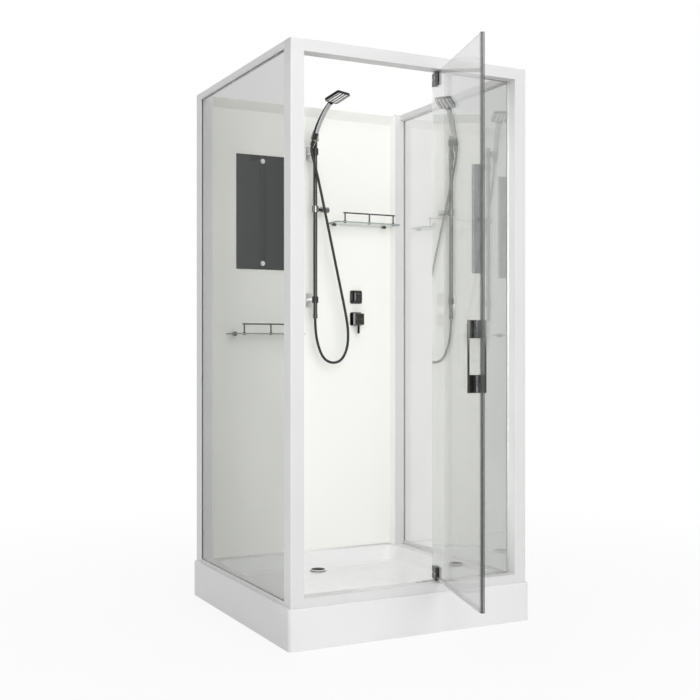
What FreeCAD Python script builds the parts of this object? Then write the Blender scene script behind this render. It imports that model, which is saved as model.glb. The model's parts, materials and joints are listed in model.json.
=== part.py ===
import FreeCAD, Part
import math
import os
from FreeCAD import Vector

# Square framed shower cabin: origin on the floor under the middle of the tray,
# +X to the right, +Y to the back wall, +Z up, millimetres.

# Overall sizes
tray_side = 1000.0
tray_height = 145.0
cabin_height = 2100.0
frame_inset = 10.0
fuse_overlap = 1.0

# Tray
tray_corner_radius = 18.0
tray_edge_radius = 6.0
tray_shell = 6.0
rim_width = 75.0
basin_wall_run = 48.0
basin_corner_radius = 80.0
basin_foot_bevel = 14.0
basin_depth = 63.0
floor_fall = 12.0
base_board = 16.0
pipe_notch_width = 120.0
pipe_notch_height = 64.0

# Support frame and feet
frame_tube = 26.0
frame_tube_wall = 2.0
frame_tube_spread = 500.0
frame_tube_length = 800.0
foot_radius = 22.0
foot_pad = 8.0
foot_top_radius = 17.0
foot_spindle_radius = 6.0
foot_end_margin = 30.0

# Drain
drain_back_gap = 48.0
drain_hole_radius = 28.0
drain_flange_radius = 36.0
drain_flange = 3.0
drain_seat_depth = 1.5
drain_cover_radius = 31.0
drain_cover_thickness = 4.5
drain_cover_top_radius = 28.5
drain_cover_gap = 3.0
drain_cover_leg_radius = 3.0
drain_cover_legs = 3
trap_neck_radius = 27.0
trap_neck_bore = 22.0
trap_cup_radius = 40.0
trap_cup_height = 40.0
trap_floor_gap = 6.0
waste_pipe_radius = 20.0
waste_pipe_bore = 17.0
waste_pipe_height = 31.0
waste_pipe_setback = 5.0
waste_shoulder_radius = 22.0
waste_spigot = 55.0

# Frame profiles
post_width = 50.0
post_depth = 55.0
post_edge_radius = 5.0
profile_wall = 3.0
groove_depth = 10.0
glazing_strip = 12.0
cap_thickness = 3.0
cap_tongue = 8.0
front_rail_height = 42.0
side_rail_height = 24.0
side_rail_width = 24.0
rear_rail_depth = 24.0
threshold_height = 32.0
sill_height = 10.0
sill_width = 12.0
sill_groove = 6.0

# Glass and seals
glass = 6.0
glass_clearance = 0.2
glass_edge_gap = 2.0
side_glass_inset = 3.0
front_glass_inset = 9.0
gasket_width = 4.0
gasket_thickness = 2.0
seal_wall = 2.5
seal_cover = 12.5
seal_lip = 20.0
seal_lip_thickness = 2.0
seal_lip_gap = 0.5
seal_end_gap = 0.5
magnet_strip = 5.0
magnet_strip_width = 12.0

# Back wall panel
wall_thickness = 4.0
wall_field_inset = 30.0
wall_flank_front = 53.0
wall_flank_run = 11.0
wall_top_band = 36.0
wall_top_gap = 6.0
wall_side_gap = 0.2

# Door, drawn shut and then swung open about its pivot
door_open_angle = 74.0
pivot_x = 120.0
door_reach = 545.0
door_tail = 50.0
door_tail_gap = 1.5
door_bottom_gap = 7.0
door_top_gap = 5.0
hinge_length = 52.0
hinge_thickness = 22.0
hinge_grip = 44.0
hinge_over = 2.0
hinge_notch_width = 28.0
hinge_notch_depth = 24.0
hinge_bevel = 1.5
pin_radius = 4.0
pin_clearance = 0.05
pin_grip = 18.0
pin_reach = 14.0
pin_end_gap = 1.0
bush_radius = 6.5
bush_length = 18.0
bush_flange_radius = 9.0
bush_flange = 1.8
pivot_plate_thickness = 3.0
pivot_plate_depth = 18.0
pivot_plate_length = 105.0
pivot_plate_tail = 20.0
pivot_boss_radius = 8.0
pivot_running_gap = 0.3
handle_edge_distance = 62.0
handle_bottom = 890.0
handle_height = 238.0
handle_block = 59.5
handle_width = 22.0
handle_standoff = 30.0
handle_bar = 7.0
handle_bevel = 2.0
handle_bolt_radius = 3.0
handle_bolt_depth = 18.0
bolt_hole_clearance = 0.3
screw_head_radius = 3.5
screw_head_height = 1.5
screw_head_offset = 14.5
edge_seal_overlap = 12.0
edge_seal_nose = 8.0
edge_seal_wall = 3.5
bottom_seal_start = 36.0
bottom_seal_end_gap = 16.0
bottom_seal_overlap = 12.0
bottom_seal_drop = 3.0

# Mirror
mirror_x = -203.0
mirror_width = 240.0
mirror_bottom = 1375.0
mirror_height = 492.0
mirror_thickness = 5.0
mirror_bevel = 3.0
mirror_cap_radius = 11.0
mirror_cap_height = 6.0
mirror_cap_top_radius = 8.0
mirror_cap_margin = 26.0
mirror_screw_radius = 2.5

# Shelves
left_shelf_inset = 56.8
left_shelf_top = 1101.0
right_shelf_inset = 2.8
right_shelf_top = 1591.0
shelf_width = 320.0
shelf_depth = 115.0
shelf_thickness = 6.0
shelf_corner_radius = 22.0
shelf_wall_gap = 0.3
gallery_height = 37.0
gallery_radius = 3.5
gallery_setback = 8.0
gallery_post_spacing = 120.0
gallery_overhang = 8.0
gallery_nut_radius = 7.0
gallery_nut = 3.0
clip_spacing = 252.0
clip_width = 16.0
clip_height = 18.0
clip_depth = 16.0
clip_bevel = 2.0

# Riser rail and its brackets
riser_x = 20.0
riser_standoff = 60.0
riser_radius = 10.0
riser_bottom = 1185.0
riser_top = 1986.0
riser_top_bevel = 3.0
upper_bracket_z = 1891.0
lower_bracket_z = 1247.5
bracket_width = 40.0
bracket_height = 60.0
bracket_plate = 8.0
bracket_corner_radius = 4.0
bracket_arm_radius = 9.0
bracket_ring_radius = 14.0
bracket_ring_height = 28.0
seat_clearance = 0.05

# Slider on the riser rail
slider_z = 1641.0
slider_ring_radius = 16.0
slider_ring_height = 28.0
slider_boss_radius = 9.0
slider_boss_reach = 26.0
knob_gap = 0.3
knob_radius = 13.5
knob_length = 38.0
knob_bevel = 1.5
knob_stem_radius = 4.0
knob_stem_length = 10.0

# Hand shower and its holder
socket_reach = 38.3
socket_turn = 27.4
socket_z = 1951.4
socket_radius = 15.5
socket_length = 30.0
holder_ring_height = 30.0
holder_arm_radius = 8.0
hose_slot = 14.0
shower_yaw = 24.0
shower_lean = 23.0
neck_radius = 11.0
neck_clearance = 0.05
neck_below = 18.0
neck_root = 8.0
handle_start_half_width = 12.8
handle_start_half_thickness = 12.0
handle_arc_radius = 342.0
handle_steps = 6
handle_end_lean = 50.0
handle_end_half_width = 15.0
handle_end_half_thickness = 7.0
head_side = 82.0
head_thickness = 12.0
head_lean = 71.0
head_corner_radius = 9.0
head_bevel = 2.5
head_overlap = 14.0
spray_side = 72.0
spray_thickness = 4.0
spray_clearance = 0.1
nozzle_rows = 6
nozzle_spacing = 11.0
nozzle_radius = 1.8
nozzle_height = 1.5

# Hose and nuts
hose_radius = 6.0
nut_radius = 11.0
upper_nut_length = 22.0
lower_nut_length = 20.0
nut_bevel = 1.5
hose_first_run = 35.0
arc_share = 0.45

# Mixer and diverter
valve_x = 249.0
mixer_z = 1168.0
diverter_z = 1266.0
plate_side = 60.0
plate_thickness = 6.0
plate_corner_radius = 8.0
plate_bevel = 1.2
diverter_side = 36.0
diverter_front_side = 31.0
diverter_depth = 28.0
diverter_edge_radius = 2.0
control_gap = 0.3
spindle_radius = 5.0
spindle_length = 16.0
spindle_clearance = 0.05
mixer_neck_radius = 17.0
mixer_neck = 8.0
lever_width = 44.0
lever_above = 24.0
lever_below = 27.0
lever_depth = 28.0
lever_edge_radius = 3.0
lever_rod_radius = 6.0
lever_rod_length = 38.0
lever_pin_radius = 3.0
lever_pin_length = 30.0
lever_pin_back = 8.0
lever_pin_above = 12.0
lever_lug_width = 12.0
lever_lug_radius = 5.0
lever_slot_clearance = 0.4
lever_slot_depth = 17.0
lever_slot_drop = 8.0
lever_relief_angle = 28.0
valve_sleeve_radius = 19.0
valve_sleeve_clearance = 0.5
valve_body_depth = 17.0
valve_body_gap = 4.0
valve_body_margin = 46.0
inlet_radius = 10.48
inlet_length = 14.0
inlet_spacing = 36.0
supply_radius = 8.0
supply_clearance = 0.3

# Places worked out from the sizes
tray_half = tray_side / 2
frame_half = tray_half - frame_inset
post_inner = frame_half - post_width
post_face = frame_half - post_depth
rim_half = tray_half - rim_width
floor_half = rim_half - basin_wall_run
floor_low = tray_height - basin_depth
board_bottom = floor_low - base_board
drain_y = floor_half - drain_back_gap
front_glass_y = -post_face - front_glass_inset
side_glass_outer = frame_half - side_glass_inset
side_glass_inner = side_glass_outer - glass
rail_bottom = cabin_height - front_rail_height
side_rail_bottom = cabin_height - side_rail_height
threshold_top = tray_height + threshold_height
sill_top = tray_height + sill_height
field_half = post_inner - wall_side_gap - wall_thickness - wall_flank_run
wall_y = frame_half - wall_field_inset
riser_y = wall_y - riser_standoff
door_bottom = threshold_top + door_bottom_gap
door_top = rail_bottom - door_top_gap
plate_face = wall_y - plate_thickness
left_shelf_x = left_shelf_inset + shelf_width / 2 - field_half
right_shelf_x = field_half - right_shelf_inset - shelf_width / 2
glass_front = front_glass_y - glass / 2
glass_back = front_glass_y + glass / 2


def box(xa, xb, ya, yb, za, zb):
    """A box between two values on each axis, in either order."""
    low = Vector(min(xa, xb), min(ya, yb), min(za, zb))
    return Part.makeBox(abs(xb - xa), abs(yb - ya), abs(zb - za), low)


def rod(radius, start, end):
    """A round bar from one point to another."""
    along = end - start
    return Part.makeCylinder(radius, along.Length, start, along)


def joined(pieces):
    """Several overlapping solids as one."""
    return pieces[0].fuse(pieces[1:]).removeSplitter()


def edges_along(shape, axis):
    """The straight edges that run along an axis."""
    found = []
    for edge in shape.Edges:
        if isinstance(edge.Curve, Part.Line):
            if abs(edge.tangentAt(edge.FirstParameter).dot(axis)) > 0.999:
                found.append(edge)
    return found


def rounded_box(sizes, radius, axis):
    """A box whose four edges along one axis are rounded."""
    block = box(*sizes)
    return block.makeFillet(radius, edges_along(block, axis))


def bevelled_box(sizes, bevel, axis):
    """A box whose four edges along one axis are bevelled."""
    block = box(*sizes)
    return block.makeChamfer(bevel, edges_along(block, axis))


def edges_near(shape, axis, position):
    """The edges that lie wholly in a plane across an axis."""
    found = []
    for edge in shape.Edges:
        bounds = edge.BoundBox
        low = {"x": bounds.XMin, "y": bounds.YMin, "z": bounds.ZMin}[axis]
        high = {"x": bounds.XMax, "y": bounds.YMax, "z": bounds.ZMax}[axis]
        if abs(low - position) < 1e-4 and abs(high - position) < 1e-4:
            found.append(edge)
    return found


def wedge(front_half, front_low, front_high, front_y, back_half, back_low, back_high, back_y):
    """A block with flat sloping sides between an upright rectangle in front and one behind."""
    near = (-front_half, front_y, front_low, back_low, -back_half)
    far = (front_half, back_y, front_high, back_high, back_half)
    return Part.makeWedge(*near, *far)


def square_bowl(low_half, high_half, za, zb):
    """A square block with sloping sides and rounded corners, wider at the top."""
    block = wedge(low_half, -low_half, low_half, za, high_half, -high_half, high_half, zb)
    block.rotate(Vector(0, 0, 0), Vector(1, 0, 0), 90)
    corners = []
    for edge in block.Edges:
        if edge.BoundBox.ZLength > fuse_overlap:
            corners.append(edge)
    return block.makeFillet(basin_corner_radius, corners)


def prism(points, travel):
    """A flat outline pushed along a vector."""
    outline = Part.makePolygon(points + points[:1])
    return Part.Face(outline).extrude(travel)


def hexagon_bar(radius, foot, height):
    """An upright six-sided bar, its radius taken to the corners."""
    corners = []
    for side in range(6):
        angle = math.pi * side / 3
        corners.append(foot + Vector(math.cos(angle), math.sin(angle), 0) * radius)
    return prism(corners, Vector(0, 0, height))


def floor_height(y):
    """Height of the basin floor, which falls towards the drain."""
    share = (drain_y - y) / (drain_y + floor_half)
    return floor_low + floor_fall * share


def basin():
    """The water space of the tray, with a floor that falls to the drain."""
    space = square_bowl(floor_half, rim_half, floor_low - floor_fall, tray_height)
    under = [
        Vector(-tray_half, -tray_half, floor_height(-tray_half)),
        Vector(-tray_half, tray_half, floor_height(tray_half)),
        Vector(-tray_half, tray_half, 0),
        Vector(-tray_half, -tray_half, 0),
    ]
    space = space.cut(prism(under, Vector(tray_side, 0, 0)))
    floor_edges = []
    for face in space.Faces:
        normal = face.normalAt(0, 0)
        if abs(normal.z) > 0.99 and face.CenterOfMass.z < tray_height - basin_depth / 2:
            floor_edges = face.Edges
    return space.makeChamfer(basin_foot_bevel, floor_edges)


def shower_tray():
    outside = rounded_box(
        (-tray_half, tray_half, -tray_half, tray_half, 0, tray_height), tray_corner_radius, Vector(0, 0, 1)
    )
    outside = outside.makeFillet(tray_edge_radius, edges_near(outside, "z", tray_height))
    inner_half = tray_half - tray_shell
    hollow = rounded_box(
        (-inner_half, inner_half, -inner_half, inner_half, 0, tray_height - tray_shell),
        tray_corner_radius - tray_shell,
        Vector(0, 0, 1),
    )
    bowl = square_bowl(floor_half + tray_shell, rim_half + tray_shell, board_bottom, tray_height)
    hollow = hollow.cut(bowl)
    tray = outside.cut(hollow).cut(basin())
    seat = floor_low - drain_seat_depth
    drain_axis = Vector(0, drain_y, 0)
    tray = tray.cut(Part.makeCylinder(drain_hole_radius, tray_height, drain_axis))
    counterbore = drain_flange_radius + seat_clearance
    tray = tray.cut(Part.makeCylinder(counterbore, basin_depth, Vector(0, drain_y, seat)))
    half_notch = pipe_notch_width / 2
    return tray.cut(box(-half_notch, half_notch, inner_half - tray_shell, tray_half, 0, pipe_notch_height))


def square_tube(start, end, across, up):
    """A hollow square bar whose middle line joins two points."""
    along = (end - start).normalize()
    half = frame_tube / 2
    hollow = half - frame_tube_wall

    def bar(reach):
        corners = []
        for side, lift in ((-1, -1), (1, -1), (1, 1), (-1, 1)):
            corners.append(start + across * (side * reach) + up * (lift * reach))
        return prism(corners, along * (end - start).Length)

    return bar(half).cut(bar(hollow))


def tray_support_frame():
    across = Vector(1, 0, 0)
    ahead = Vector(0, 1, 0)
    up = Vector(0, 0, 1)
    height = board_bottom - frame_tube / 2
    half_spread = frame_tube_spread / 2
    half_length = frame_tube_length / 2
    bars = []
    for side in (-1, 1):
        start = Vector(side * half_spread, -half_length, height)
        bars.append(square_tube(start, start + ahead * frame_tube_length, across, up))
    reach = half_spread - frame_tube / 2
    bars.append(square_tube(Vector(-reach, 0, height), Vector(reach, 0, height), ahead, up))
    return joined(bars)


def levelling_feet():
    half_spread = frame_tube_spread / 2
    half_row = frame_tube_length / 2 - foot_end_margin
    places = [(0, 0)]
    for side in (-1, 1):
        for end in (-1, 1):
            places.append((side * half_spread, end * half_row))
    feet = []
    for x, y in places:
        pad = Part.makeCone(foot_radius, foot_top_radius, foot_pad, Vector(x, y, 0))
        stem = hexagon_bar(foot_spindle_radius, Vector(x, y, 0), board_bottom - frame_tube)
        feet.append(joined([pad, stem]))
    return Part.makeCompound(feet)


def drain_trap():
    seat = floor_low - drain_seat_depth
    middle = Vector(0, drain_y, 0)
    flange = Part.makeCylinder(drain_flange_radius, drain_flange, middle + Vector(0, 0, seat))
    neck = Part.makeCylinder(trap_neck_radius, seat - trap_floor_gap, middle + Vector(0, 0, trap_floor_gap))
    cup = Part.makeCylinder(trap_cup_radius, trap_cup_height, middle + Vector(0, 0, trap_floor_gap))
    outlet_start = middle + Vector(0, 0, waste_pipe_height)
    outlet_end = Vector(0, tray_half - waste_pipe_setback, waste_pipe_height)
    outlet = rod(waste_pipe_radius, outlet_start, outlet_end)
    shoulder = rod(waste_shoulder_radius, outlet_start, outlet_end - Vector(0, waste_spigot, 0))
    body = joined([flange, neck, cup, shoulder, outlet])
    well_floor = trap_floor_gap + tray_shell
    well = Part.makeCylinder(trap_neck_bore, tray_height, middle + Vector(0, 0, well_floor))
    return body.cut(well).cut(rod(waste_pipe_bore, outlet_start, outlet_end))


def drain_cover():
    rest = floor_low - drain_seat_depth + drain_flange
    underside = rest + drain_cover_gap
    leg_ring = (trap_neck_bore + drain_cover_radius) / 2
    place = Vector(0, 0, underside)
    pieces = [Part.makeCone(drain_cover_radius, drain_cover_top_radius, drain_cover_thickness, place)]
    for number in range(drain_cover_legs):
        angle = 2 * math.pi * number / drain_cover_legs
        foot = Vector(leg_ring * math.cos(angle), leg_ring * math.sin(angle), rest)
        pieces.append(hexagon_bar(drain_cover_leg_radius, foot, drain_cover_gap + fuse_overlap))
    cover = joined(pieces)
    cover.translate(Vector(0, drain_y, 0))
    return cover


def side_groove(side, ya, yb, za, zb):
    """The slot that a side glass slides into."""
    inner = side * (side_glass_inner - glass_clearance)
    outer = side * (side_glass_outer + glass_clearance)
    return box(inner, outer, ya, yb, za, zb)


def front_groove(xa, xb, za, zb):
    """The slot that the fixed front glass slides into."""
    return box(xa, xb, glass_front - glass_clearance, glass_back + glass_clearance, za, zb)


def post_bar(side, end, za, zb):
    """A bar with a post's outline, rounded at the cabin's corner."""
    outer = Vector(side * frame_half, end * frame_half, 0)
    bar = box(outer.x, side * post_inner, outer.y, end * post_face, za, zb)
    rounded = []
    for edge in edges_along(bar, Vector(0, 0, 1)):
        place = edge.CenterOfMass
        if abs(place.x - outer.x) < 1e-4 and abs(place.y - outer.y) < 1e-4:
            rounded.append(edge)
    return bar.makeFillet(post_edge_radius, rounded)


def post(side, end):
    """One corner post: a hollow profile with glazing slots."""
    top = cabin_height - cap_thickness
    solid = post_bar(side, end, tray_height, top)
    solid = solid.cut(post_chamber(side, end, tray_height, top))
    groove_end = end * (post_face + groove_depth)
    groove_top = side_rail_bottom + groove_depth
    solid = solid.cut(side_groove(side, end * post_face, groove_end, tray_height, groove_top))
    if end < 0 and side > 0:
        solid = solid.cut(front_groove(post_inner, post_inner + groove_depth, tray_height, cabin_height))
    return solid


def post_chamber(side, end, za, zb):
    """The hollow inside a post, kept clear of its glazing slots."""
    return box(
        side * (frame_half - glazing_strip),
        side * (post_inner + groove_depth + profile_wall),
        end * (frame_half - profile_wall),
        end * (post_face + groove_depth + profile_wall),
        za,
        zb,
    )


def post_caps():
    caps = []
    for side in (-1, 1):
        for end in (-1, 1):
            top = cabin_height - cap_thickness
            plate = post_bar(side, end, top, cabin_height)
            tongue = post_chamber(side, end, top - cap_tongue, top)
            caps.append(joined([plate, tongue]))
    return Part.makeCompound(caps)


def pivot_bore(radius, z, depth):
    """A round space on the door's pivot line."""
    return Part.makeCylinder(radius, depth, Vector(pivot_x, front_glass_y, z))


def fixed_start():
    """Where the fixed front glass begins, past the door's tail."""
    return pivot_x + door_tail + door_tail_gap + seal_wall


def front_bar(za, zb):
    """A hollow rail between the front posts."""
    bar = box(-post_inner, post_inner, -frame_half, -post_face, za, zb)
    chamber_back = glass_front - glass_clearance - profile_wall
    return bar.cut(
        box(
            -post_inner,
            post_inner,
            -frame_half + profile_wall,
            chamber_back,
            za + profile_wall,
            zb - profile_wall,
        )
    )


def front_top_rail():
    rail = front_bar(rail_bottom, cabin_height)
    groove_start = fixed_start() - seal_wall
    rail = rail.cut(front_groove(groove_start, post_inner, rail_bottom, rail_bottom + groove_depth))
    return rail.cut(pivot_bore(bush_radius + seat_clearance, rail_bottom, bush_length))


def threshold():
    bar = front_bar(tray_height, threshold_top)
    groove_start = fixed_start() - seal_wall
    bar = bar.cut(front_groove(groove_start, post_inner, threshold_top - groove_depth, threshold_top))
    return bar.cut(pivot_bore(bush_radius + seat_clearance, threshold_top - bush_length, bush_length))


def side_top_rail(side):
    inner = frame_half - side_rail_width
    rail = box(side * inner, side * frame_half, -post_face, post_face, side_rail_bottom, cabin_height)
    chamber_low = side_rail_bottom + groove_depth + profile_wall
    chamber = box(
        side * (inner + profile_wall),
        side * (frame_half - profile_wall),
        -post_face,
        post_face,
        chamber_low,
        cabin_height - profile_wall,
    )
    groove = side_groove(side, -post_face, post_face, side_rail_bottom, side_rail_bottom + groove_depth)
    return rail.cut(chamber).cut(groove)


def rear_top_rail():
    inner = frame_half - rear_rail_depth
    rail = box(-post_inner, post_inner, inner, frame_half, rail_bottom, cabin_height)
    return rail.cut(
        box(
            -post_inner,
            post_inner,
            inner + profile_wall,
            frame_half - profile_wall,
            rail_bottom + profile_wall,
            cabin_height - profile_wall,
        )
    )


def side_sills():
    sills = []
    for side in (-1, 1):
        inner = side * (frame_half - sill_width)
        sill = box(inner, side * frame_half, -post_face, post_face, tray_height, sill_top)
        sills.append(sill.cut(side_groove(side, -post_face, post_face, sill_top - sill_groove, sill_top)))
    return Part.makeCompound(sills)


def side_glass(side):
    reach = post_face + groove_depth - glass_edge_gap
    bottom = sill_top - sill_groove + glass_clearance
    top = side_rail_bottom + groove_depth - glass_edge_gap
    return box(side * side_glass_inner, side * side_glass_outer, -reach, reach, bottom, top)


def side_gaskets(side):
    """The two rubber beads round a side glass."""
    beads = []
    for start, travel in ((side_glass_inner, -gasket_thickness), (side_glass_outer, gasket_thickness)):
        end = start + travel
        frame = box(side * start, side * end, -post_face, post_face, sill_top, side_rail_bottom)
        opening = box(
            side * start,
            side * end,
            -post_face + gasket_width,
            post_face - gasket_width,
            sill_top + gasket_width,
            side_rail_bottom - gasket_width,
        )
        beads.append(frame.cut(opening))
    return Part.makeCompound(beads)


def back_wall():
    front_y = frame_half - wall_flank_front
    front_half = field_half + wall_flank_run
    front_top = cabin_height - wall_top_gap - wall_thickness
    field_top = front_top - wall_top_band
    back_y = wall_y + wall_thickness
    space = wedge(
        front_half, tray_height, front_top, front_y, field_half, tray_height, field_top, wall_y
    )
    outside = wedge(
        front_half + wall_thickness,
        tray_height,
        front_top + wall_thickness,
        front_y,
        field_half + wall_thickness,
        tray_height,
        field_top + wall_thickness,
        back_y,
    )
    wall = outside.cut(space)
    valve_hole = valve_sleeve_radius + valve_sleeve_clearance
    holes = [
        (valve_x, mixer_z, valve_hole),
        (valve_x, diverter_z, valve_hole),
        (riser_x, lower_bracket_z, supply_radius + supply_clearance),
    ]
    for z in mirror_cap_heights():
        holes.append((mirror_x, z, mirror_screw_radius + seat_clearance))
    for x, z, radius in holes:
        wall = wall.cut(wall_axis(x, z, radius, wall_y, back_y))
    return wall


def swing(shape):
    """A door piece turned from shut to the angle at which the door stands."""
    opened = shape.copy()
    opened.rotate(Vector(pivot_x, front_glass_y, 0), Vector(0, 0, 1), door_open_angle)
    return opened


def shut_pane():
    """The shut door's glass, notched for its hinges."""
    pane = box(pivot_x - door_reach, pivot_x + door_tail, glass_front, glass_back, door_bottom, door_top)
    half = hinge_notch_width / 2
    for start in (door_bottom, door_top - hinge_notch_depth):
        end = start + hinge_notch_depth
        pane = pane.cut(box(pivot_x - half, pivot_x + half, glass_front, glass_back, start, end))
    return pane


def shut_door_glass():
    pane = shut_pane()
    for z in handle_bolt_heights():
        place = Vector(handle_x(), glass_front, z)
        hole = rod(handle_bolt_radius + bolt_hole_clearance, place, place + Vector(0, glass, 0))
        pane = pane.cut(hole)
    return pane


def shut_hinge(bottom, top, bore_bottom):
    """A hinge block that grips the glass round its notch."""
    half = hinge_length / 2
    deep = hinge_thickness / 2
    block = bevelled_box(
        (pivot_x - half, pivot_x + half, front_glass_y - deep, front_glass_y + deep, bottom, top),
        hinge_bevel,
        Vector(0, 0, 1),
    )
    return block.cut(shut_pane()).cut(pivot_bore(pin_radius + seat_clearance, bore_bottom, pin_grip))


def upper_hinge():
    top = door_top + hinge_over
    return swing(shut_hinge(door_top - hinge_grip, top, top - pin_grip))


def lower_hinge():
    bottom = door_bottom - hinge_over
    return swing(shut_hinge(bottom, door_bottom + hinge_grip, bottom))


def pivot_pins():
    upper_start = door_top + hinge_over - pin_grip
    upper = pivot_bore(pin_radius, upper_start, rail_bottom + pin_reach - upper_start)
    lower_start = threshold_top - pin_reach
    lower = pivot_bore(pin_radius, lower_start, door_bottom - hinge_over + pin_grip - lower_start)
    return Part.makeCompound([upper, lower])


def upper_pivot_bush():
    body = pivot_bore(bush_radius, rail_bottom, bush_length)
    flange = pivot_bore(bush_flange_radius, rail_bottom - bush_flange, bush_flange)
    bore_depth = bush_flange + pin_reach + pin_end_gap
    bore = pivot_bore(pin_radius + pin_clearance, rail_bottom - bush_flange, bore_depth)
    return joined([body, flange]).cut(bore)


def lower_pivot_plate():
    deep = pivot_plate_depth / 2
    end = pivot_x + pivot_plate_tail
    plate_top = threshold_top + pivot_plate_thickness
    start = end - pivot_plate_length
    sizes = (start, end, front_glass_y - deep, front_glass_y + deep, threshold_top, plate_top)
    plate = bevelled_box(sizes, hinge_bevel, Vector(0, 0, 1))
    boss_top = door_bottom - hinge_over - pivot_running_gap
    boss = pivot_bore(pivot_boss_radius, threshold_top, boss_top - threshold_top)
    bush = pivot_bore(bush_radius, threshold_top - bush_length, bush_length)
    bore = pivot_bore(pin_radius + pin_clearance, threshold_top - pin_reach - pin_end_gap, tray_height)
    return joined([plate, boss, bush]).cut(bore)


def handle_x():
    """Middle of the pull handles along the shut door."""
    return pivot_x - door_reach + handle_edge_distance


def handle_bolt_heights():
    top = handle_bottom + handle_height
    return (handle_bottom + handle_block / 2, top - handle_block / 2)


def shut_handle(face_y, outward):
    """One pull handle: two end blocks and a slim bar."""
    half = handle_width / 2
    x = handle_x()
    top = handle_bottom + handle_height
    reach = face_y + outward * handle_standoff
    sizes = (x - half, x + half, face_y, reach, handle_bottom, top)
    grip = bevelled_box(sizes, handle_bevel, Vector(0, 0, 1))
    inner = face_y + outward * (handle_standoff - handle_bar)
    window = box(x - half, x + half, face_y, inner, handle_bottom + handle_block, top - handle_block)
    grip = grip.cut(window)
    for z in handle_bolt_heights():
        start = Vector(x, face_y, z)
        end = Vector(x, face_y + outward * handle_bolt_depth, z)
        grip = grip.cut(rod(handle_bolt_radius + seat_clearance, start, end))
    return grip


def handle_bolts():
    x = handle_x()
    pieces = []
    for z in handle_bolt_heights():
        start = Vector(x, glass_front - handle_bolt_depth, z)
        end = Vector(x, glass_back + handle_bolt_depth, z)
        pieces.append(swing(rod(handle_bolt_radius, start, end)))
    head_y = glass_back + handle_standoff
    top_bolt = handle_bolt_heights()[1]
    for z in (top_bolt - screw_head_offset, top_bolt + screw_head_offset):
        start = Vector(x, head_y, z)
        pieces.append(swing(rod(screw_head_radius, start, start + Vector(0, screw_head_height, 0))))
    return Part.makeCompound(pieces)


def door_magnet_seal():
    free_edge = pivot_x - door_reach
    front = glass_front - edge_seal_wall
    back = glass_back + edge_seal_wall
    bottom = door_bottom + glass_edge_gap
    top = door_top - glass_edge_gap
    strip = box(free_edge - edge_seal_nose, free_edge + edge_seal_overlap, front, back, bottom, top)
    return swing(strip.cut(box(free_edge, pivot_x, glass_front, glass_back, bottom, top)))


def door_bottom_seal():
    start = pivot_x - door_reach + bottom_seal_end_gap
    end = pivot_x - bottom_seal_start
    front = glass_front - seal_wall
    back = glass_back + seal_wall
    top = door_bottom + bottom_seal_overlap
    strip = box(start, end, front, back, door_bottom - bottom_seal_drop, top)
    return swing(strip.cut(box(start, end, glass_front, glass_back, door_bottom, top)))


def fixed_glass():
    end = post_inner + groove_depth - glass_edge_gap
    bottom = threshold_top - groove_depth + glass_edge_gap
    top = rail_bottom + groove_depth - glass_edge_gap
    return box(fixed_start(), end, glass_front, glass_back, bottom, top)


def fixed_panel_seal():
    """The edge channel of the fixed glass, with the lip that the door's tail shuts against."""
    bottom = threshold_top + seal_end_gap
    top = rail_bottom - seal_end_gap
    start = fixed_start() - seal_wall
    channel = box(start, start + seal_cover, glass_front - seal_wall, glass_back + seal_wall, bottom, top)
    channel = channel.cut(box(fixed_start(), post_inner, glass_front, glass_back, bottom, top))
    lip_back = glass_front - seal_lip_gap
    lip = box(start - seal_lip, start + seal_wall, lip_back - seal_lip_thickness, lip_back, bottom, top)
    return joined([channel, lip])


def post_magnet_strip():
    half = magnet_strip_width / 2
    bottom = threshold_top + seal_end_gap
    top = rail_bottom - seal_end_gap
    face = -post_inner
    return box(face, face + magnet_strip, front_glass_y - half, front_glass_y + half, bottom, top)


def mirror_cap_heights():
    return (mirror_bottom + mirror_cap_margin, mirror_bottom + mirror_height - mirror_cap_margin)


def mirror():
    half = mirror_width / 2
    top = mirror_bottom + mirror_height
    front = wall_y - mirror_thickness
    pane = box(mirror_x - half, mirror_x + half, front, wall_y, mirror_bottom, top)
    pane = pane.makeChamfer(mirror_bevel, edges_near(pane, "y", front))
    for z in mirror_cap_heights():
        start = Vector(mirror_x, front, z)
        hole = rod(mirror_screw_radius + seat_clearance, start, start + Vector(0, mirror_thickness, 0))
        pane = pane.cut(hole)
    return pane


def mirror_caps():
    caps = []
    front = wall_y - mirror_thickness
    for z in mirror_cap_heights():
        base = Vector(mirror_x, front, z)
        outward = Vector(0, -1, 0)
        dome = Part.makeCone(mirror_cap_radius, mirror_cap_top_radius, mirror_cap_height, base, outward)
        shank = rod(mirror_screw_radius, base, Vector(mirror_x, wall_y + wall_thickness, z))
        caps.append(joined([dome, shank]))
    return Part.makeCompound(caps)


def shelf(x, top):
    half = shelf_width / 2
    back = wall_y - shelf_wall_gap
    front = back - shelf_depth
    plate = box(x - half, x + half, front, back, top - shelf_thickness, top)
    front_edges = []
    for edge in edges_along(plate, Vector(0, 0, 1)):
        if abs(edge.CenterOfMass.y - front) < 1e-4:
            front_edges.append(edge)
    plate = plate.makeFillet(shelf_corner_radius, front_edges)
    for place in gallery_places(x):
        foot = Vector(place.x, place.y, top - shelf_thickness)
        plate = plate.cut(Part.makeCylinder(gallery_radius + seat_clearance, shelf_thickness, foot))
    return plate


def gallery_places(x):
    """Where the posts of a shelf's guard rail stand."""
    y = wall_y - shelf_wall_gap - shelf_depth + gallery_setback
    return [Vector(x + step * gallery_post_spacing, y, 0) for step in (-1, 0, 1)]


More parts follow.
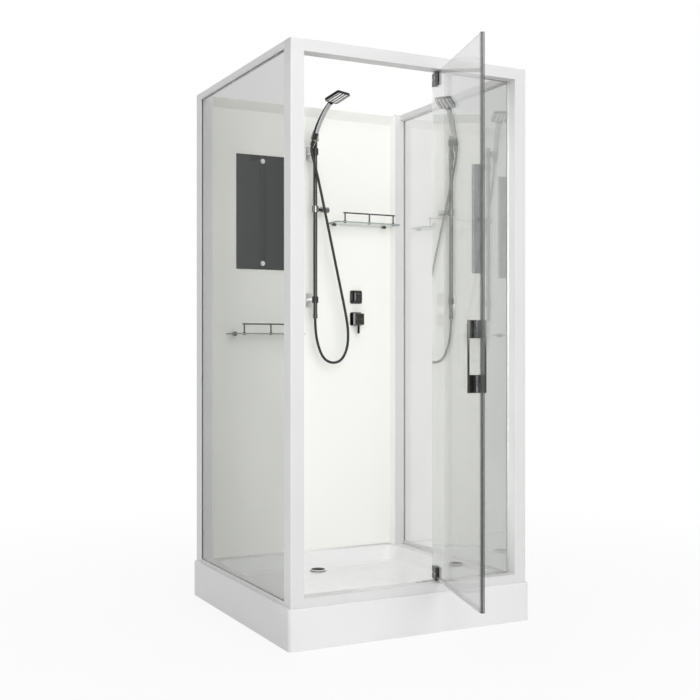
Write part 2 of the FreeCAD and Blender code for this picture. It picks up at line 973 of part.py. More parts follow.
def shelf_gallery(x, top):
    """The guard rail along the front of a shelf, with its posts and their nuts."""
    places = gallery_places(x)
    height = Vector(0, 0, top + gallery_height)
    overhang = Vector(gallery_overhang, 0, 0)
    pieces = [rod(gallery_radius, places[0] + height - overhang, places[-1] + height + overhang)]
    bottom = top - shelf_thickness
    for place in places:
        foot = place + Vector(0, 0, bottom - gallery_nut)
        pieces.append(rod(gallery_radius, foot, place + height))
        pieces.append(hexagon_bar(gallery_nut_radius, foot, gallery_nut))
        pieces.append(hexagon_bar(gallery_nut_radius, place + Vector(0, 0, top), gallery_nut))
    return joined(pieces)


def shelf_clips():
    clips = []
    for x, top in ((left_shelf_x, left_shelf_top), (right_shelf_x, right_shelf_top)):
        middle = top - shelf_thickness / 2
        for step in (-1, 1):
            place = x + step * clip_spacing / 2
            half = clip_width / 2
            low = middle - clip_height / 2
            high = middle + clip_height / 2
            sizes = (place - half, place + half, wall_y - clip_depth, wall_y, low, high)
            clip = bevelled_box(sizes, clip_bevel, Vector(0, 1, 0))
            pane_back = wall_y - shelf_wall_gap
            under = top - shelf_thickness
            slot = box(place - half, place + half, wall_y - clip_depth, pane_back, under, top)
            clips.append(clip.cut(slot))
    return Part.makeCompound(clips)


def riser_line(radius, za, zb):
    """A round bar or space on the riser rail's middle line."""
    return Part.makeCylinder(radius, zb - za, Vector(riser_x, riser_y, za))


def riser_rail():
    rail = riser_line(riser_radius, riser_bottom, riser_top)
    return rail.makeChamfer(riser_top_bevel, edges_near(rail, "z", riser_top))


def riser_bracket(z):
    half = bracket_width / 2
    high = bracket_height / 2
    face = wall_y - bracket_plate
    sizes = (riser_x - half, riser_x + half, face, wall_y, z - high, z + high)
    plate = rounded_box(sizes, bracket_corner_radius, Vector(0, 1, 0))
    arm = rod(bracket_arm_radius, Vector(riser_x, face + fuse_overlap, z), Vector(riser_x, riser_y, z))
    ring = riser_line(bracket_ring_radius, z - bracket_ring_height / 2, z + bracket_ring_height / 2)
    bore = riser_line(riser_radius + seat_clearance, z - bracket_height, z + bracket_height)
    return joined([plate, arm, ring]).cut(bore)


def slider_boss_end():
    return riser_x + slider_boss_reach


def slider_body():
    half = slider_ring_height / 2
    ring = riser_line(slider_ring_radius, slider_z - half, slider_z + half)
    end = Vector(slider_boss_end(), riser_y, slider_z)
    boss = rod(slider_boss_radius, Vector(riser_x, riser_y, slider_z), end)
    body = joined([ring, boss])
    body = body.cut(riser_line(riser_radius + seat_clearance, slider_z - half, slider_z + half))
    stem_space = knob_stem_length + knob_gap - slider_boss_reach
    deep_end = Vector(riser_x - stem_space, riser_y, slider_z)
    return body.cut(rod(knob_stem_radius + pin_clearance, deep_end, end))


def slider_knob():
    start = Vector(slider_boss_end() + knob_gap, riser_y, slider_z)
    grip_end = start + Vector(knob_length, 0, 0)
    grip = rod(knob_radius, start, grip_end)
    grip = grip.makeChamfer(knob_bevel, edges_near(grip, "x", grip_end.x))
    stem = rod(knob_stem_radius, start - Vector(knob_stem_length, 0, 0), start)
    return joined([grip, stem])


def shower_forward():
    """Level direction in which the hand shower leans out."""
    yaw = math.radians(shower_yaw)
    return Vector(math.sin(yaw), -math.cos(yaw), 0)


def lean_direction(lean):
    """Direction in the hand shower's plane, measured from upright."""
    angle = math.radians(lean)
    return shower_forward() * math.sin(angle) + Vector(0, 0, math.cos(angle))


def socket_middle():
    turn = math.radians(socket_turn)
    x = riser_x - socket_reach * math.sin(turn)
    return Vector(x, riser_y - socket_reach * math.cos(turn), socket_z)


def on_neck(distance):
    """A point on the neck line of the hand shower, measured from the socket's middle."""
    return socket_middle() + lean_direction(shower_lean) * distance


def neck_top():
    """Where the handle's shoulder stands, just clear of the socket."""
    return socket_length / 2 + control_gap


def shower_holder():
    half = holder_ring_height / 2
    ring = riser_line(slider_ring_radius, socket_z - half, socket_z + half)
    arm = rod(holder_arm_radius, Vector(riser_x, riser_y, socket_z), socket_middle())
    sleeve = rod(socket_radius, on_neck(-socket_length / 2), on_neck(socket_length / 2))
    holder = joined([ring, arm, sleeve])
    holder = holder.cut(riser_line(riser_radius + seat_clearance, socket_z - half, socket_z + half))
    bore = rod(neck_radius + neck_clearance, on_neck(-socket_length), on_neck(socket_length))
    holder = holder.cut(bore)
    across = Vector(0, 0, 1).cross(shower_forward())
    corner = on_neck(-socket_length) - across * (hose_slot / 2)
    outward = across.cross(lean_direction(shower_lean)) * (-2 * socket_radius)
    far_corner = corner + across * hose_slot
    slot_face = [corner, far_corner, far_corner + outward, corner + outward]
    return holder.cut(prism(slot_face, lean_direction(shower_lean) * (2 * socket_length)))


def handle_point(lean):
    """A point of the bent handle, by the lean of the handle there."""
    start = math.radians(shower_lean)
    angle = math.radians(lean)
    forward = handle_arc_radius * (math.cos(start) - math.cos(angle))
    rise = handle_arc_radius * (math.sin(angle) - math.sin(start))
    return on_neck(neck_top()) + shower_forward() * forward + Vector(0, 0, rise)


def oval(middle, normal, half_width, half_thickness):
    """An oval outline across the handle, its long axis level."""
    level = Vector(0, 0, 1).cross(normal).normalize()
    reaches = [(half_width, level), (half_thickness, normal.cross(level))]
    reaches.sort(key=lambda reach: -reach[0])
    ends = [middle + direction * reach for reach, direction in reaches]
    return Part.Wire([Part.Ellipse(ends[0], ends[1], middle).toShape()])


def bent_handle():
    """The handle, lofted from its shoulder to its flat end."""
    outlines = []
    for step in range(handle_steps + 1):
        share = step / handle_steps
        lean = shower_lean + (handle_end_lean - shower_lean) * share
        wide = handle_start_half_width + (handle_end_half_width - handle_start_half_width) * share
        thinning = handle_start_half_thickness - handle_end_half_thickness
        thick = handle_start_half_thickness - thinning * share
        outlines.append(oval(handle_point(lean), lean_direction(lean), wide, thick))
    return Part.makeLoft(outlines, True, True)


def on_head(shape):
    """A shape drawn flat about the origin, placed as the head: +Y leads, +Z is its back."""
    lead = lean_direction(head_lean)
    across = Vector(0, 0, 1).cross(shower_forward()) * -1
    back = across.cross(lead)
    middle = handle_point(handle_end_lean) + lead * (head_side / 2 - head_overlap)
    placed = shape.copy()
    placed.transformShape(
        FreeCAD.Matrix(
            across.x, lead.x, back.x, middle.x,
            across.y, lead.y, back.y, middle.y,
            across.z, lead.z, back.z, middle.z,
            0, 0, 0, 1,
        )
    )
    return placed


def hand_shower():
    half = head_side / 2
    thick = head_thickness / 2
    head = rounded_box((-half, half, -half, half, -thick, thick), head_corner_radius, Vector(0, 0, 1))
    head = head.makeChamfer(head_bevel, edges_near(head, "z", thick))
    neck = rod(neck_radius, on_neck(-neck_below), on_neck(neck_top() + neck_root))
    body = joined([on_head(head), bent_handle(), neck])
    recess_half = spray_side / 2 + spray_clearance
    recess = box(-recess_half, recess_half, -recess_half, recess_half, -head_side, spray_thickness - thick)
    return body.cut(on_head(recess))


def spray_plate():
    half = spray_side / 2
    thick = head_thickness / 2
    pieces = [box(-half, half, -half, half, -thick, spray_thickness - thick)]
    first = -(nozzle_rows - 1) * nozzle_spacing / 2
    for row in range(nozzle_rows):
        for column in range(nozzle_rows):
            x = first + column * nozzle_spacing
            y = first + row * nozzle_spacing
            tip = Vector(x, y, -thick - nozzle_height)
            pieces.append(hexagon_bar(nozzle_radius, tip, nozzle_height + fuse_overlap))
    return on_head(joined(pieces))


def hose_start():
    return on_neck(-neck_below - upper_nut_length)


def hose_end():
    return Vector(riser_x, riser_y, riser_bottom - lower_nut_length)


def hose_points():
    """The hose from the hand shower down past the slider and up to the riser's foot."""
    start = hose_start()
    loop = [
        (3, 379, 1845),
        (29, 369, 1733),
        (161, 374, 1165),
        (165, 379, 1006),
        (92, 390, 965),
        (20, 400, 1006),
    ]
    points = [start, start - lean_direction(shower_lean) * hose_first_run]
    points += [Vector(*place) for place in loop]
    return points + [hose_end()]


def hose_path():
    """Straight runs joined by tangent arcs, as large as the runs allow."""
    points = hose_points()
    edges = []
    radii = []
    last = points[0]
    for before, corner, after in zip(points, points[1:], points[2:]):
        back = (before - corner).normalize()
        ahead = (after - corner).normalize()
        turn = math.pi - back.getAngle(ahead)
        reach = arc_share * min((before - corner).Length, (after - corner).Length)
        radius = reach / math.tan(turn / 2)
        arc_start = corner + back * reach
        arc_end = corner + ahead * reach
        inward = (back + ahead).normalize()
        middle = corner + inward * (radius / math.cos(turn / 2) - radius)
        edges.append(Part.LineSegment(last, arc_start).toShape())
        edges.append(Part.Arc(arc_start, middle, arc_end).toShape())
        radii.append(radius)
        last = arc_end
    edges.append(Part.LineSegment(last, points[-1]).toShape())
    return Part.Wire(edges), radii


def shower_hose():
    path, radii = hose_path()
    start = hose_start()
    section = Part.Wire([Part.Circle(start, lean_direction(shower_lean) * -1, hose_radius).toShape()])
    tube = path.makePipeShell([section], True, True)
    wanted = math.pi * hose_radius ** 2 * path.Length
    print("hose length %.1f, volume %.0f, section times length %.0f" % (path.Length, tube.Volume, wanted))
    print("hose radii", " ".join("%.0f" % radius for radius in radii))
    return tube


def upper_hose_nut():
    return rod(nut_radius, on_neck(-neck_below), on_neck(-neck_below - upper_nut_length))


def lower_hose_nut():
    nut = riser_line(nut_radius, riser_bottom - lower_nut_length, riser_bottom)
    return nut.makeChamfer(nut_bevel, edges_near(nut, "z", riser_bottom - lower_nut_length))


def wall_axis(x, z, radius, ya, yb):
    """A round bar or space square to the back wall."""
    return rod(radius, Vector(x, ya, z), Vector(x, yb, z))


def cover_plate(z):
    half = plate_side / 2
    plate = rounded_box(
        (valve_x - half, valve_x + half, plate_face, wall_y, z - half, z + half),
        plate_corner_radius,
        Vector(0, 1, 0),
    )
    plate = plate.makeChamfer(plate_bevel, edges_near(plate, "y", plate_face))
    return plate.cut(wall_axis(valve_x, z, spindle_radius + control_gap, plate_face, wall_y))


def diverter_knob():
    """A square tapered knob on its spindle."""
    back = plate_face - control_gap
    front = back - diverter_depth

    grip = wedge(
        diverter_front_side / 2,
        -diverter_front_side / 2,
        diverter_front_side / 2,
        front,
        diverter_side / 2,
        -diverter_side / 2,
        diverter_side / 2,
        back,
    )
    grip.translate(Vector(valve_x, 0, diverter_z))
    grip = grip.makeFillet(diverter_edge_radius, edges_near(grip, "y", front))
    spindle = wall_axis(valve_x, diverter_z, spindle_radius, back - fuse_overlap, wall_y + spindle_length)
    return joined([grip, spindle])


def lever_back():
    return plate_face - control_gap - mixer_neck - control_gap


def lever_pin_line(radius, half_length):
    """A round bar or space on the lever's tilting axis."""
    y = lever_back() - lever_pin_back
    z = mixer_z + lever_pin_above
    return rod(radius, Vector(valve_x - half_length, y, z), Vector(valve_x + half_length, y, z))


def mixer_stem():
    """The turning neck of the mixer, with the lug and pin that the lever tilts on."""
    neck_back = plate_face - control_gap
    neck = wall_axis(valve_x, mixer_z, mixer_neck_radius, neck_back, neck_back - mixer_neck)
    spindle = wall_axis(valve_x, mixer_z, spindle_radius, neck_back - fuse_overlap, wall_y + spindle_length)
    half = lever_lug_width / 2
    lug = lever_pin_line(lever_lug_radius, half)
    pin_y = lever_back() - lever_pin_back
    pin_z = mixer_z + lever_pin_above
    web = box(
        valve_x - half,
        valve_x + half,
        pin_y,
        neck_back - fuse_overlap,
        pin_z - lever_lug_radius,
        pin_z,
    )
    pin = lever_pin_line(lever_pin_radius, lever_pin_length / 2)
    return joined([neck, spindle, lug, web, pin])


def mixer_lever():
    """A square lever block with a round finger rod below it."""
    back = lever_back()
    front = back - lever_depth
    half = lever_width / 2
    bottom = mixer_z - lever_below
    top = mixer_z + lever_above
    block = box(valve_x - half, valve_x + half, front, back, bottom, top)
    block = block.makeFillet(lever_edge_radius, edges_near(block, "y", front))
    middle_y = (front + back) / 2
    rod_top = Vector(valve_x, middle_y, bottom + fuse_overlap)
    finger = rod(lever_rod_radius, rod_top, Vector(valve_x, middle_y, bottom - lever_rod_length))
    lever = joined([block, finger])
    slot_half = lever_lug_width / 2 + lever_slot_clearance
    pin_z = mixer_z + lever_pin_above
    slot = box(
        valve_x - slot_half, valve_x + slot_half, back - lever_slot_depth, back, pin_z - lever_slot_drop, top
    )
    fall = (top - pin_z) * math.tan(math.radians(lever_relief_angle))
    relief = [
        Vector(valve_x - half, back, pin_z),
        Vector(valve_x - half, back, top),
        Vector(valve_x - half, back - fall, top),
    ]
    lever = lever.cut(slot).cut(prism(relief, Vector(lever_width, 0, 0)))
    pin_space = lever_pin_length / 2 + control_gap
    return lever.cut(lever_pin_line(lever_pin_radius + pin_clearance, pin_space))


def valve_body():
    """The brass body behind the wall, with two threaded inlets at its back."""
    back_of_wall = wall_y + wall_thickness
    front = back_of_wall + valve_body_gap
    half = plate_side / 2
    low = mixer_z - valve_body_margin
    high = diverter_z + valve_body_margin
    back = front + valve_body_depth
    pieces = [box(valve_x - half, valve_x + half, front, back, low, high)]
    for z in (mixer_z, diverter_z):
        pieces.append(wall_axis(valve_x, z, valve_sleeve_radius, wall_y, front + fuse_overlap))
    for side in (-1, 1):
        x = valve_x + side * inlet_spacing / 2
        pieces.append(wall_axis(x, mixer_z, inlet_radius, back - fuse_overlap, back + inlet_length))
    body = joined(pieces)
    for z in (mixer_z, diverter_z):
        bore_end = wall_y + spindle_length + control_gap
        body = body.cut(wall_axis(valve_x, z, spindle_radius + spindle_clearance, wall_y, bore_end))
    return body


def riser_supply_pipe():
    """The pipe behind the wall from the valve to the riser's lower bracket."""
    middle_y = wall_y + wall_thickness + valve_body_gap + valve_body_depth / 2
    corner = Vector(riser_x, middle_y, lower_bracket_z)
    valve_side = Vector(valve_x - plate_side / 2, middle_y, lower_bracket_z)
    run = rod(supply_radius, corner, valve_side)
    elbow = Part.makeSphere(supply_radius, corner)
    spigot = rod(supply_radius, corner, Vector(riser_x, wall_y, lower_bracket_z))
    return joined([run, elbow, spigot])


def save(name, shape):
    """Write one piece to its own file."""
    shape.exportStep("parts/" + name + ".step")


def main():
    os.makedirs("parts", exist_ok=True)
    save("shower_tray", shower_tray())
    save("tray_support_frame", tray_support_frame())
    save("levelling_feet", levelling_feet())
    save("drain_trap", drain_trap())
    save("drain_cover", drain_cover())
    save("front_left_post", post(-1, -1))
    save("front_right_post", post(1, -1))
    save("rear_left_post", post(-1, 1))
    save("rear_right_post", post(1, 1))
    save("post_caps", post_caps())
    save("front_top_rail", front_top_rail())
    save("rear_top_rail", rear_top_rail())
    save("left_top_rail", side_top_rail(-1))
    save("right_top_rail", side_top_rail(1))
    save("threshold", threshold())
    save("side_sills", side_sills())
    save("back_wall", back_wall())
    save("left_glass", side_glass(-1))
    save("right_glass", side_glass(1))
    save("left_gaskets", side_gaskets(-1))
    save("right_gaskets", side_gaskets(1))
    save("fixed_glass", fixed_glass())
    save("fixed_panel_seal", fixed_panel_seal())
    save("post_magnet_strip", post_magnet_strip())
    save("door_glass", swing(shut_door_glass()))
    save("upper_hinge", upper_hinge())
    save("lower_hinge", lower_hinge())
    save("pivot_pins", pivot_pins())
    save("upper_pivot_bush", upper_pivot_bush())
    save("lower_pivot_plate", lower_pivot_plate())
    save("outer_handle", swing(shut_handle(glass_front, -1)))
    save("inner_handle", swing(shut_handle(glass_back, 1)))
    save("handle_bolts", handle_bolts())
    save("door_magnet_seal", door_magnet_seal())
    save("door_bottom_seal", door_bottom_seal())
    save("mirror", mirror())
    save("mirror_caps", mirror_caps())
    save("left_shelf", shelf(left_shelf_x, left_shelf_top))
    save("left_shelf_gallery", shelf_gallery(left_shelf_x, left_shelf_top))
    save("right_shelf", shelf(right_shelf_x, right_shelf_top))
    save("right_shelf_gallery", shelf_gallery(right_shelf_x, right_shelf_top))
    save("shelf_clips", shelf_clips())
    save("riser_rail", riser_rail())
    save("upper_riser_bracket", riser_bracket(upper_bracket_z))
    save("lower_riser_bracket", riser_bracket(lower_bracket_z))
    save("slider_body", slider_body())
    save("slider_knob", slider_knob())
    save("shower_holder", shower_holder())
    save("hand_shower", hand_shower())
    save("spray_plate", spray_plate())
    save("upper_hose_nut", upper_hose_nut())
    save("lower_hose_nut", lower_hose_nut())
    save("shower_hose", shower_hose())
    save("mixer_plate", cover_plate(mixer_z))
    save("mixer_stem", mixer_stem())
    save("mixer_lever", mixer_lever())
    save("diverter_plate", cover_plate(diverter_z))
    save("diverter_knob", diverter_knob())
    save("valve_body", valve_body())
    save("riser_supply_pipe", riser_supply_pipe())


main()
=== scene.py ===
import json
import math
from collections import namedtuple

import bmesh
import bpy
from mathutils import Matrix, Vector


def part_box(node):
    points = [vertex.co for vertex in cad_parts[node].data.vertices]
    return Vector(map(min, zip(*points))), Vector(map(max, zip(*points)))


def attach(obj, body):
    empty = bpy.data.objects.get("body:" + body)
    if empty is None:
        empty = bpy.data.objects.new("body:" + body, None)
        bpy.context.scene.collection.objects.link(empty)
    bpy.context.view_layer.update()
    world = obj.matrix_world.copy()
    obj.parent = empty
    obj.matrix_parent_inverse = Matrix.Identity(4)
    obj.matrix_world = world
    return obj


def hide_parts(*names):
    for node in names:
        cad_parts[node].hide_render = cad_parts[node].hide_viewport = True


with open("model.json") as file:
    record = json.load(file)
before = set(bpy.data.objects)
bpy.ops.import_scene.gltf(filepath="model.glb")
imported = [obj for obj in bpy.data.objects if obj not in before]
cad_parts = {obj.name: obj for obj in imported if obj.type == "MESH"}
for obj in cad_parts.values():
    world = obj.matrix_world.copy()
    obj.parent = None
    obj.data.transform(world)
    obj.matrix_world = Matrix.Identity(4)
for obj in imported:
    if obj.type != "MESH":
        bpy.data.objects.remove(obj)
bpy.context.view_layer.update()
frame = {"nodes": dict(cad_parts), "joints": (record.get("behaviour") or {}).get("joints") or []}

bl_info = {
    "name": "Shower Cabin Dresser",
    "version": (1, 0, 0),
    "blender": (4, 5, 0),
    "location": "3D View > Sidebar > Cabin",
    "description": "Gives the packed shower cabin its finishes, hose, sealant, screws, light and camera",
    "category": "Object",
}

NODES = frame["nodes"]

UP = Vector((0.0, 0.0, 1.0))
LEFT = Vector((-1.0, 0.0, 0.0))
RIGHT = Vector((1.0, 0.0, 0.0))
FORWARD = Vector((0.0, -1.0, 0.0))
BACK = Vector((0.0, 1.0, 0.0))

# The door as it stands: its pivot line and its turn from shut
DOOR_SWING = next(joint for joint in frame["joints"] if joint["name"] == "door_swing")
DOOR_PIVOT = Vector((*DOOR_SWING["pos_m"][:2], 0.0))
DOOR_TURN = Matrix.Rotation(-math.radians(DOOR_SWING["range_deg"][0]), 4, "Z")
DOOR_NORMAL = DOOR_TURN @ BACK
DOOR_FREE_SIDE = DOOR_TURN @ LEFT

# Half the thickness of a hinge block
HINGE_HALF_DEPTH = 0.011

# How far the mirror image in a hung pane turns from the pane's own plane
DOOR_LEAN = math.radians(1.0)
RIGHT_PANE_LEAN = math.radians(0.6)

# How far from the end of a pane its cut edge begins, and that edge's colour
CUT_SKIN = 0.0004
CUT_EDGE = (0.030, 0.034, 0.033)

# The share of the mirror image in glass that is seen square on
LEAST_SHINE = 0.04

# Which way the head of the hand shower looks, and the flank where painted shade darkens its plating
SHOWER_YAW = math.radians(24.0)
SHOWER_FORWARD = Vector((math.sin(SHOWER_YAW), -math.cos(SHOWER_YAW), 0.0))
SHOWER_ACROSS = Vector((SHOWER_FORWARD.y, -SHOWER_FORWARD.x, 0.0))
HEAD_LEAN = math.radians(71.0)
HEAD_LEAD = SHOWER_FORWARD * math.sin(HEAD_LEAN) + UP * math.cos(HEAD_LEAN)
PAINTED_SHADE_LIFT = math.radians(17.0)
PAINTED_SHADE_SIDE = SHOWER_ACROSS * math.cos(PAINTED_SHADE_LIFT) + UP * math.sin(PAINTED_SHADE_LIFT)

# How square a face of the hand shower looks to that flank where its painted shade starts and ends
PAINTED_SHADE_FROM = 0.62
PAINTED_SHADE_TO = 0.86

# How far the shower's head reaches past its spray face, and the nozzle rows on that face
HEAD_RIM = 0.006
NOZZLE_PITCH = 0.0190
NOZZLE_WIDTH = 0.0080
NOZZLE_BLUR = 0.0004

# How wide the line is where one tone of a piece gives way to the other
SEAM = 0.0005

# How deep the ring of a riser bracket is
BRACKET_RING = 0.028

# How far below its top the lid of the drain cover gives way to its border
LID_STEP = 0.0006
LID_SEAM = 0.0002

# How much lighter the enamel is painted on the rear left post and the left rail: painted light, standing in
# for light that falls short of them
PAINTED_LIGHT_GAIN = 1.16

# The bead on the back wall stops this far from the wall's ends, clear of its sloping flanks
WALL_FLANK = 0.016

# The width of a side sill, and the flats across the hollow face of a bead
SILL_WIDTH = 0.012
BEAD_STEPS = 6

# A screw head from its seat over the dome into the socket: the share of the radius, the share of
# the height, and whether the outline is a hexagon
SCREW_PROFILE = (
    (1.0, 0.0, False),
    (1.0, 0.35, False),
    (0.90, 0.75, False),
    (0.70, 1.0, False),
    (0.42, 1.0, True),
    (0.42, 0.2, True),
)
SCREW_SIDES = 24

# Rings of points along each winding of the hose
RINGS_PER_RIB = 5

# A finish reaches its low and its high value at these values of its noise
NOISE_LOW = 0.3
NOISE_HIGH = 0.7

# A face whose normal keeps less than this share along a plate's normal is on the plate's rim
RIM_LIMIT = 0.5

# The camera's sensor, in millimetres
SENSOR_WIDTH = 36.0

# How far from the middle the floor starts and ends turning white, and its white share up to there
FLOOR_NEAR = 0.8
FLOOR_FAR = 3.0
FLOOR_SHARE = 0.86

# What the outer lamps are aimed at, the line of the front posts, and the height of the lamps by them
CABIN_MIDDLE = (0.0, 0.0, 1.0)
POST_LINE = -0.468
HALF_WAY = 1.1

# Each lamp's name, place, aim, width and height, spread in degrees, and whether glossy pieces mirror it
Lamp = namedtuple("Lamp", "name place aim size spread mirrored", defaults=(180.0, True))
LAMPS = (
    Lamp("front_lamp", (-0.6, -5.0, 2.6), CABIN_MIDDLE, (3.2, 3.2)),
    Lamp("top_lamp", (0.0, 0.0, 3.6), CABIN_MIDDLE, (1.6, 1.6)),
    Lamp("side_lamp", (-4.2, -0.6, 2.4), CABIN_MIDDLE, (2.4, 2.4)),
    Lamp("inside_lamp", (0.0, -0.38, HALF_WAY), (0.0, 0.4, HALF_WAY), (0.78, 1.8), mirrored=False),
    Lamp("rear_lamp", (1.2, 5.0, 2.8), CABIN_MIDDLE, (3.2, 3.2), mirrored=False),
    Lamp("doorway_lamp", (-0.3, POST_LINE, HALF_WAY), (0.44, POST_LINE, HALF_WAY), (0.03, 1.8), 50.0, False),
    Lamp("post_lamp", (-1.1, POST_LINE, HALF_WAY), (-0.5, POST_LINE, HALF_WAY), (0.04, 1.9), 25.0, False),
)

# The hose's route, from the hand shower down past the slider and up to the riser's foot
HOSE_ROUTE = (
    (-0.0040, 0.3803, 1.9146),
    (-0.0068, 0.3867, 1.898),
    (0.001, 0.380, 1.858),
    (0.014, 0.373, 1.800),
    (0.032, 0.3692, 1.720),
    (0.062, 0.3703, 1.591),
    (0.128, 0.3728, 1.307),
    (0.161, 0.374, 1.165),
    (0.170, 0.3764, 1.100),
    (0.167, 0.380, 1.036),
    (0.1425, 0.386, 0.9825),
    (0.098, 0.390, 0.9695),
    (0.0575, 0.395, 0.990),
    (0.034, 0.399, 1.045),
    (0.021, 0.400, 1.110),
    (0.020, 0.400, 1.165),
)


class CabinFinishes(bpy.types.PropertyGroup):
    """Colours of the cabin's finishes."""

    enamel: bpy.props.FloatVectorProperty(
        name="Frame enamel", description="Powder coat of the posts and rails",
        default=(0.73, 0.73, 0.73), min=0.0, max=1.0, size=3, subtype="COLOR",
    )
    acrylic: bpy.props.FloatVectorProperty(
        name="Tray acrylic", description="Glossy sheet of the shower tray",
        default=(0.82, 0.82, 0.82), min=0.0, max=1.0, size=3, subtype="COLOR",
    )
    wall: bpy.props.FloatVectorProperty(
        name="Wall panel", description="Warm white of the back wall",
        default=(0.92, 0.92, 0.885), min=0.0, max=1.0, size=3, subtype="COLOR",
    )
    glass: bpy.props.FloatVectorProperty(
        name="Glass tint", description="What one face of the grey glass lets through",
        default=(0.86, 0.865, 0.86), min=0.0, max=1.0, size=3, subtype="COLOR",
    )
    # The mirror's dark colour is a painted reflection of dark surroundings
    mirror: bpy.props.FloatVectorProperty(
        name="Mirror", description="Silvering of the smoked mirror",
        default=(0.042, 0.045, 0.046), min=0.0, max=1.0, size=3, subtype="COLOR",
    )
    # The dark plating colour is a painted reflection of dark surroundings
    chrome: bpy.props.FloatVectorProperty(
        name="Dark chrome", description="Plating of the fittings",
        default=(0.050, 0.050, 0.051), min=0.0, max=1.0, size=3, subtype="COLOR",
    )
    # A lighter copy of the chrome as painted highlight, for the slider and its knob
    slider_chrome: bpy.props.FloatVectorProperty(
        name="Slider chrome", description="Brighter plating of the slider and its knob",
        default=(0.22, 0.22, 0.22), min=0.0, max=1.0, size=3, subtype="COLOR",
    )
    # A darker copy of the chrome as painted shade, for the mixer and the diverter
    valve_chrome: bpy.props.FloatVectorProperty(
        name="Valve chrome", description="Darker plating of the mixer and the diverter",
        default=(0.008, 0.008, 0.008), min=0.0, max=1.0, size=3, subtype="COLOR",
    )


class CabinHose(bpy.types.PropertyGroup):
    """Sizes of the shower hose."""

    length: bpy.props.FloatProperty(
        name="Length", description="Length of the hose between its nuts",
        default=1.237, min=0.5, max=3.0, unit="LENGTH",
    )
    diameter: bpy.props.FloatProperty(
        name="Diameter", description="Outside diameter of the sleeve",
        default=0.012, min=0.006, max=0.03, unit="LENGTH",
    )
    rib_pitch: bpy.props.FloatProperty(
        name="Rib pitch", description="Distance between two windings of the sleeve",
        default=0.0042, min=0.001, max=0.02, unit="LENGTH",
    )
    rib_depth: bpy.props.FloatProperty(
        name="Rib depth", description="Depth of the groove between two windings",
        default=0.0004, min=0.0, max=0.003, unit="LENGTH",
    )
    sides: bpy.props.IntProperty(
        name="Sides", description="Points round the hose",
        default=14, min=6, max=48,
    )


class CabinTrim(bpy.types.PropertyGroup):
    """Sizes of the screws and the sealant."""

    screw_radius: bpy.props.FloatProperty(
        name="Screw radius", description="Radius of a hinge screw's head",
        default=0.0045, min=0.001, max=0.02, unit="LENGTH",
    )
    screw_height: bpy.props.FloatProperty(
        name="Screw height", description="How far a hinge screw stands proud",
        default=0.0012, min=0.0002, max=0.01, unit="LENGTH",
    )
    screw_spacing: bpy.props.FloatProperty(
        name="Screw spacing", description="Distance between the two screws of a hinge",
        default=0.034, min=0.01, max=0.1, unit="LENGTH",
    )
    bead: bpy.props.FloatProperty(
        name="Sealant bead", description="Leg of the beads on the tray and on the fixed pane's post",
        default=0.005, min=0.001, max=0.02, unit="LENGTH",
    )


class CabinStage(bpy.types.PropertyGroup):
    """The camera, the lamps and the floor."""

    camera_place: bpy.props.FloatVectorProperty(
        name="Camera place", description="Where the camera stands",
        default=(-1.99577, -3.89450, 1.03516), size=3, subtype="TRANSLATION", unit="LENGTH",
    )
    camera_heading: bpy.props.FloatProperty(
        name="Camera heading", description="Turn of the level camera about the vertical",
        default=math.radians(-26.975), subtype="ANGLE",
    )
    camera_lens: bpy.props.FloatProperty(
        name="Lens", description="Focal length on a 36 mm sensor",
        default=56.04, min=10.0, max=200.0, unit="CAMERA",
    )
    camera_shift: bpy.props.FloatProperty(
        name="Shift", description="Upward shift of the lens, as a share of the picture",
        default=-0.0021, subtype="FACTOR",
    )
    floor_side: bpy.props.FloatProperty(
        name="Floor side", description="Side of the square floor",
        default=30.0, min=5.0, unit="LENGTH",
    )
    sky: bpy.props.FloatProperty(
        name="Sky", description="Strength of the even light from all round",
        default=0.42, min=0.0,
    )
    front_lamp: bpy.props.FloatProperty(
        name="Front lamp", description="Power of the large lamp in front",
        default=145.0, min=0.0, unit="POWER",
    )
    top_lamp: bpy.props.FloatProperty(
        name="Top lamp", description="Power of the lamp above the open roof",
        default=20.0, min=0.0, unit="POWER",
    )
    side_lamp: bpy.props.FloatProperty(
        name="Side lamp", description="Power of the lamp on the left",
        default=9.0, min=0.0, unit="POWER",
    )
    rear_lamp: bpy.props.FloatProperty(
        name="Rear lamp", description="Power of the large lamp behind",
        default=70.0, min=0.0, unit="POWER",
    )
    inside_lamp: bpy.props.FloatProperty(
        name="Inside lamp", description="Power of the soft lamp behind the doorway",
        default=3.6, min=0.0, unit="POWER",
    )
    doorway_lamp: bpy.props.FloatProperty(
        name="Doorway lamp", description="Power of the strip lamp that lights the right post",
        default=1.3, min=0.0, unit="POWER",
    )
    post_lamp: bpy.props.FloatProperty(
        name="Post lamp", description="Power of the strip lamp that lights the left post",
        default=0.13, min=0.0, unit="POWER",
    )


def span(node, direction):
    """Where a node begins and ends along a direction."""
    reaches = [vertex.co.dot(direction) for vertex in NODES[node].data.vertices]
    return min(reaches), max(reaches)


def mix_shaders(tree, share, first, second):
    """The first shader, giving way to the second with the share."""
    mix = tree.nodes.new("ShaderNodeMixShader")
    tree.links.new(share, mix.inputs["Fac"])
    tree.links.new(first, mix.inputs[1])
    tree.links.new(second, mix.inputs[2])
    return mix.outputs["Shader"]


def reckon(tree, operation, first, second=None):
    """Arithmetic on a value, alone or with a number or another value."""
    step = tree.nodes.new("ShaderNodeMath")
    step.operation = operation
    tree.links.new(first, step.inputs[0])
    if isinstance(second, bpy.types.NodeSocket):
        tree.links.new(second, step.inputs[1])
    elif second is not None:
        step.inputs[1].default_value = second
    return step.outputs["Value"]


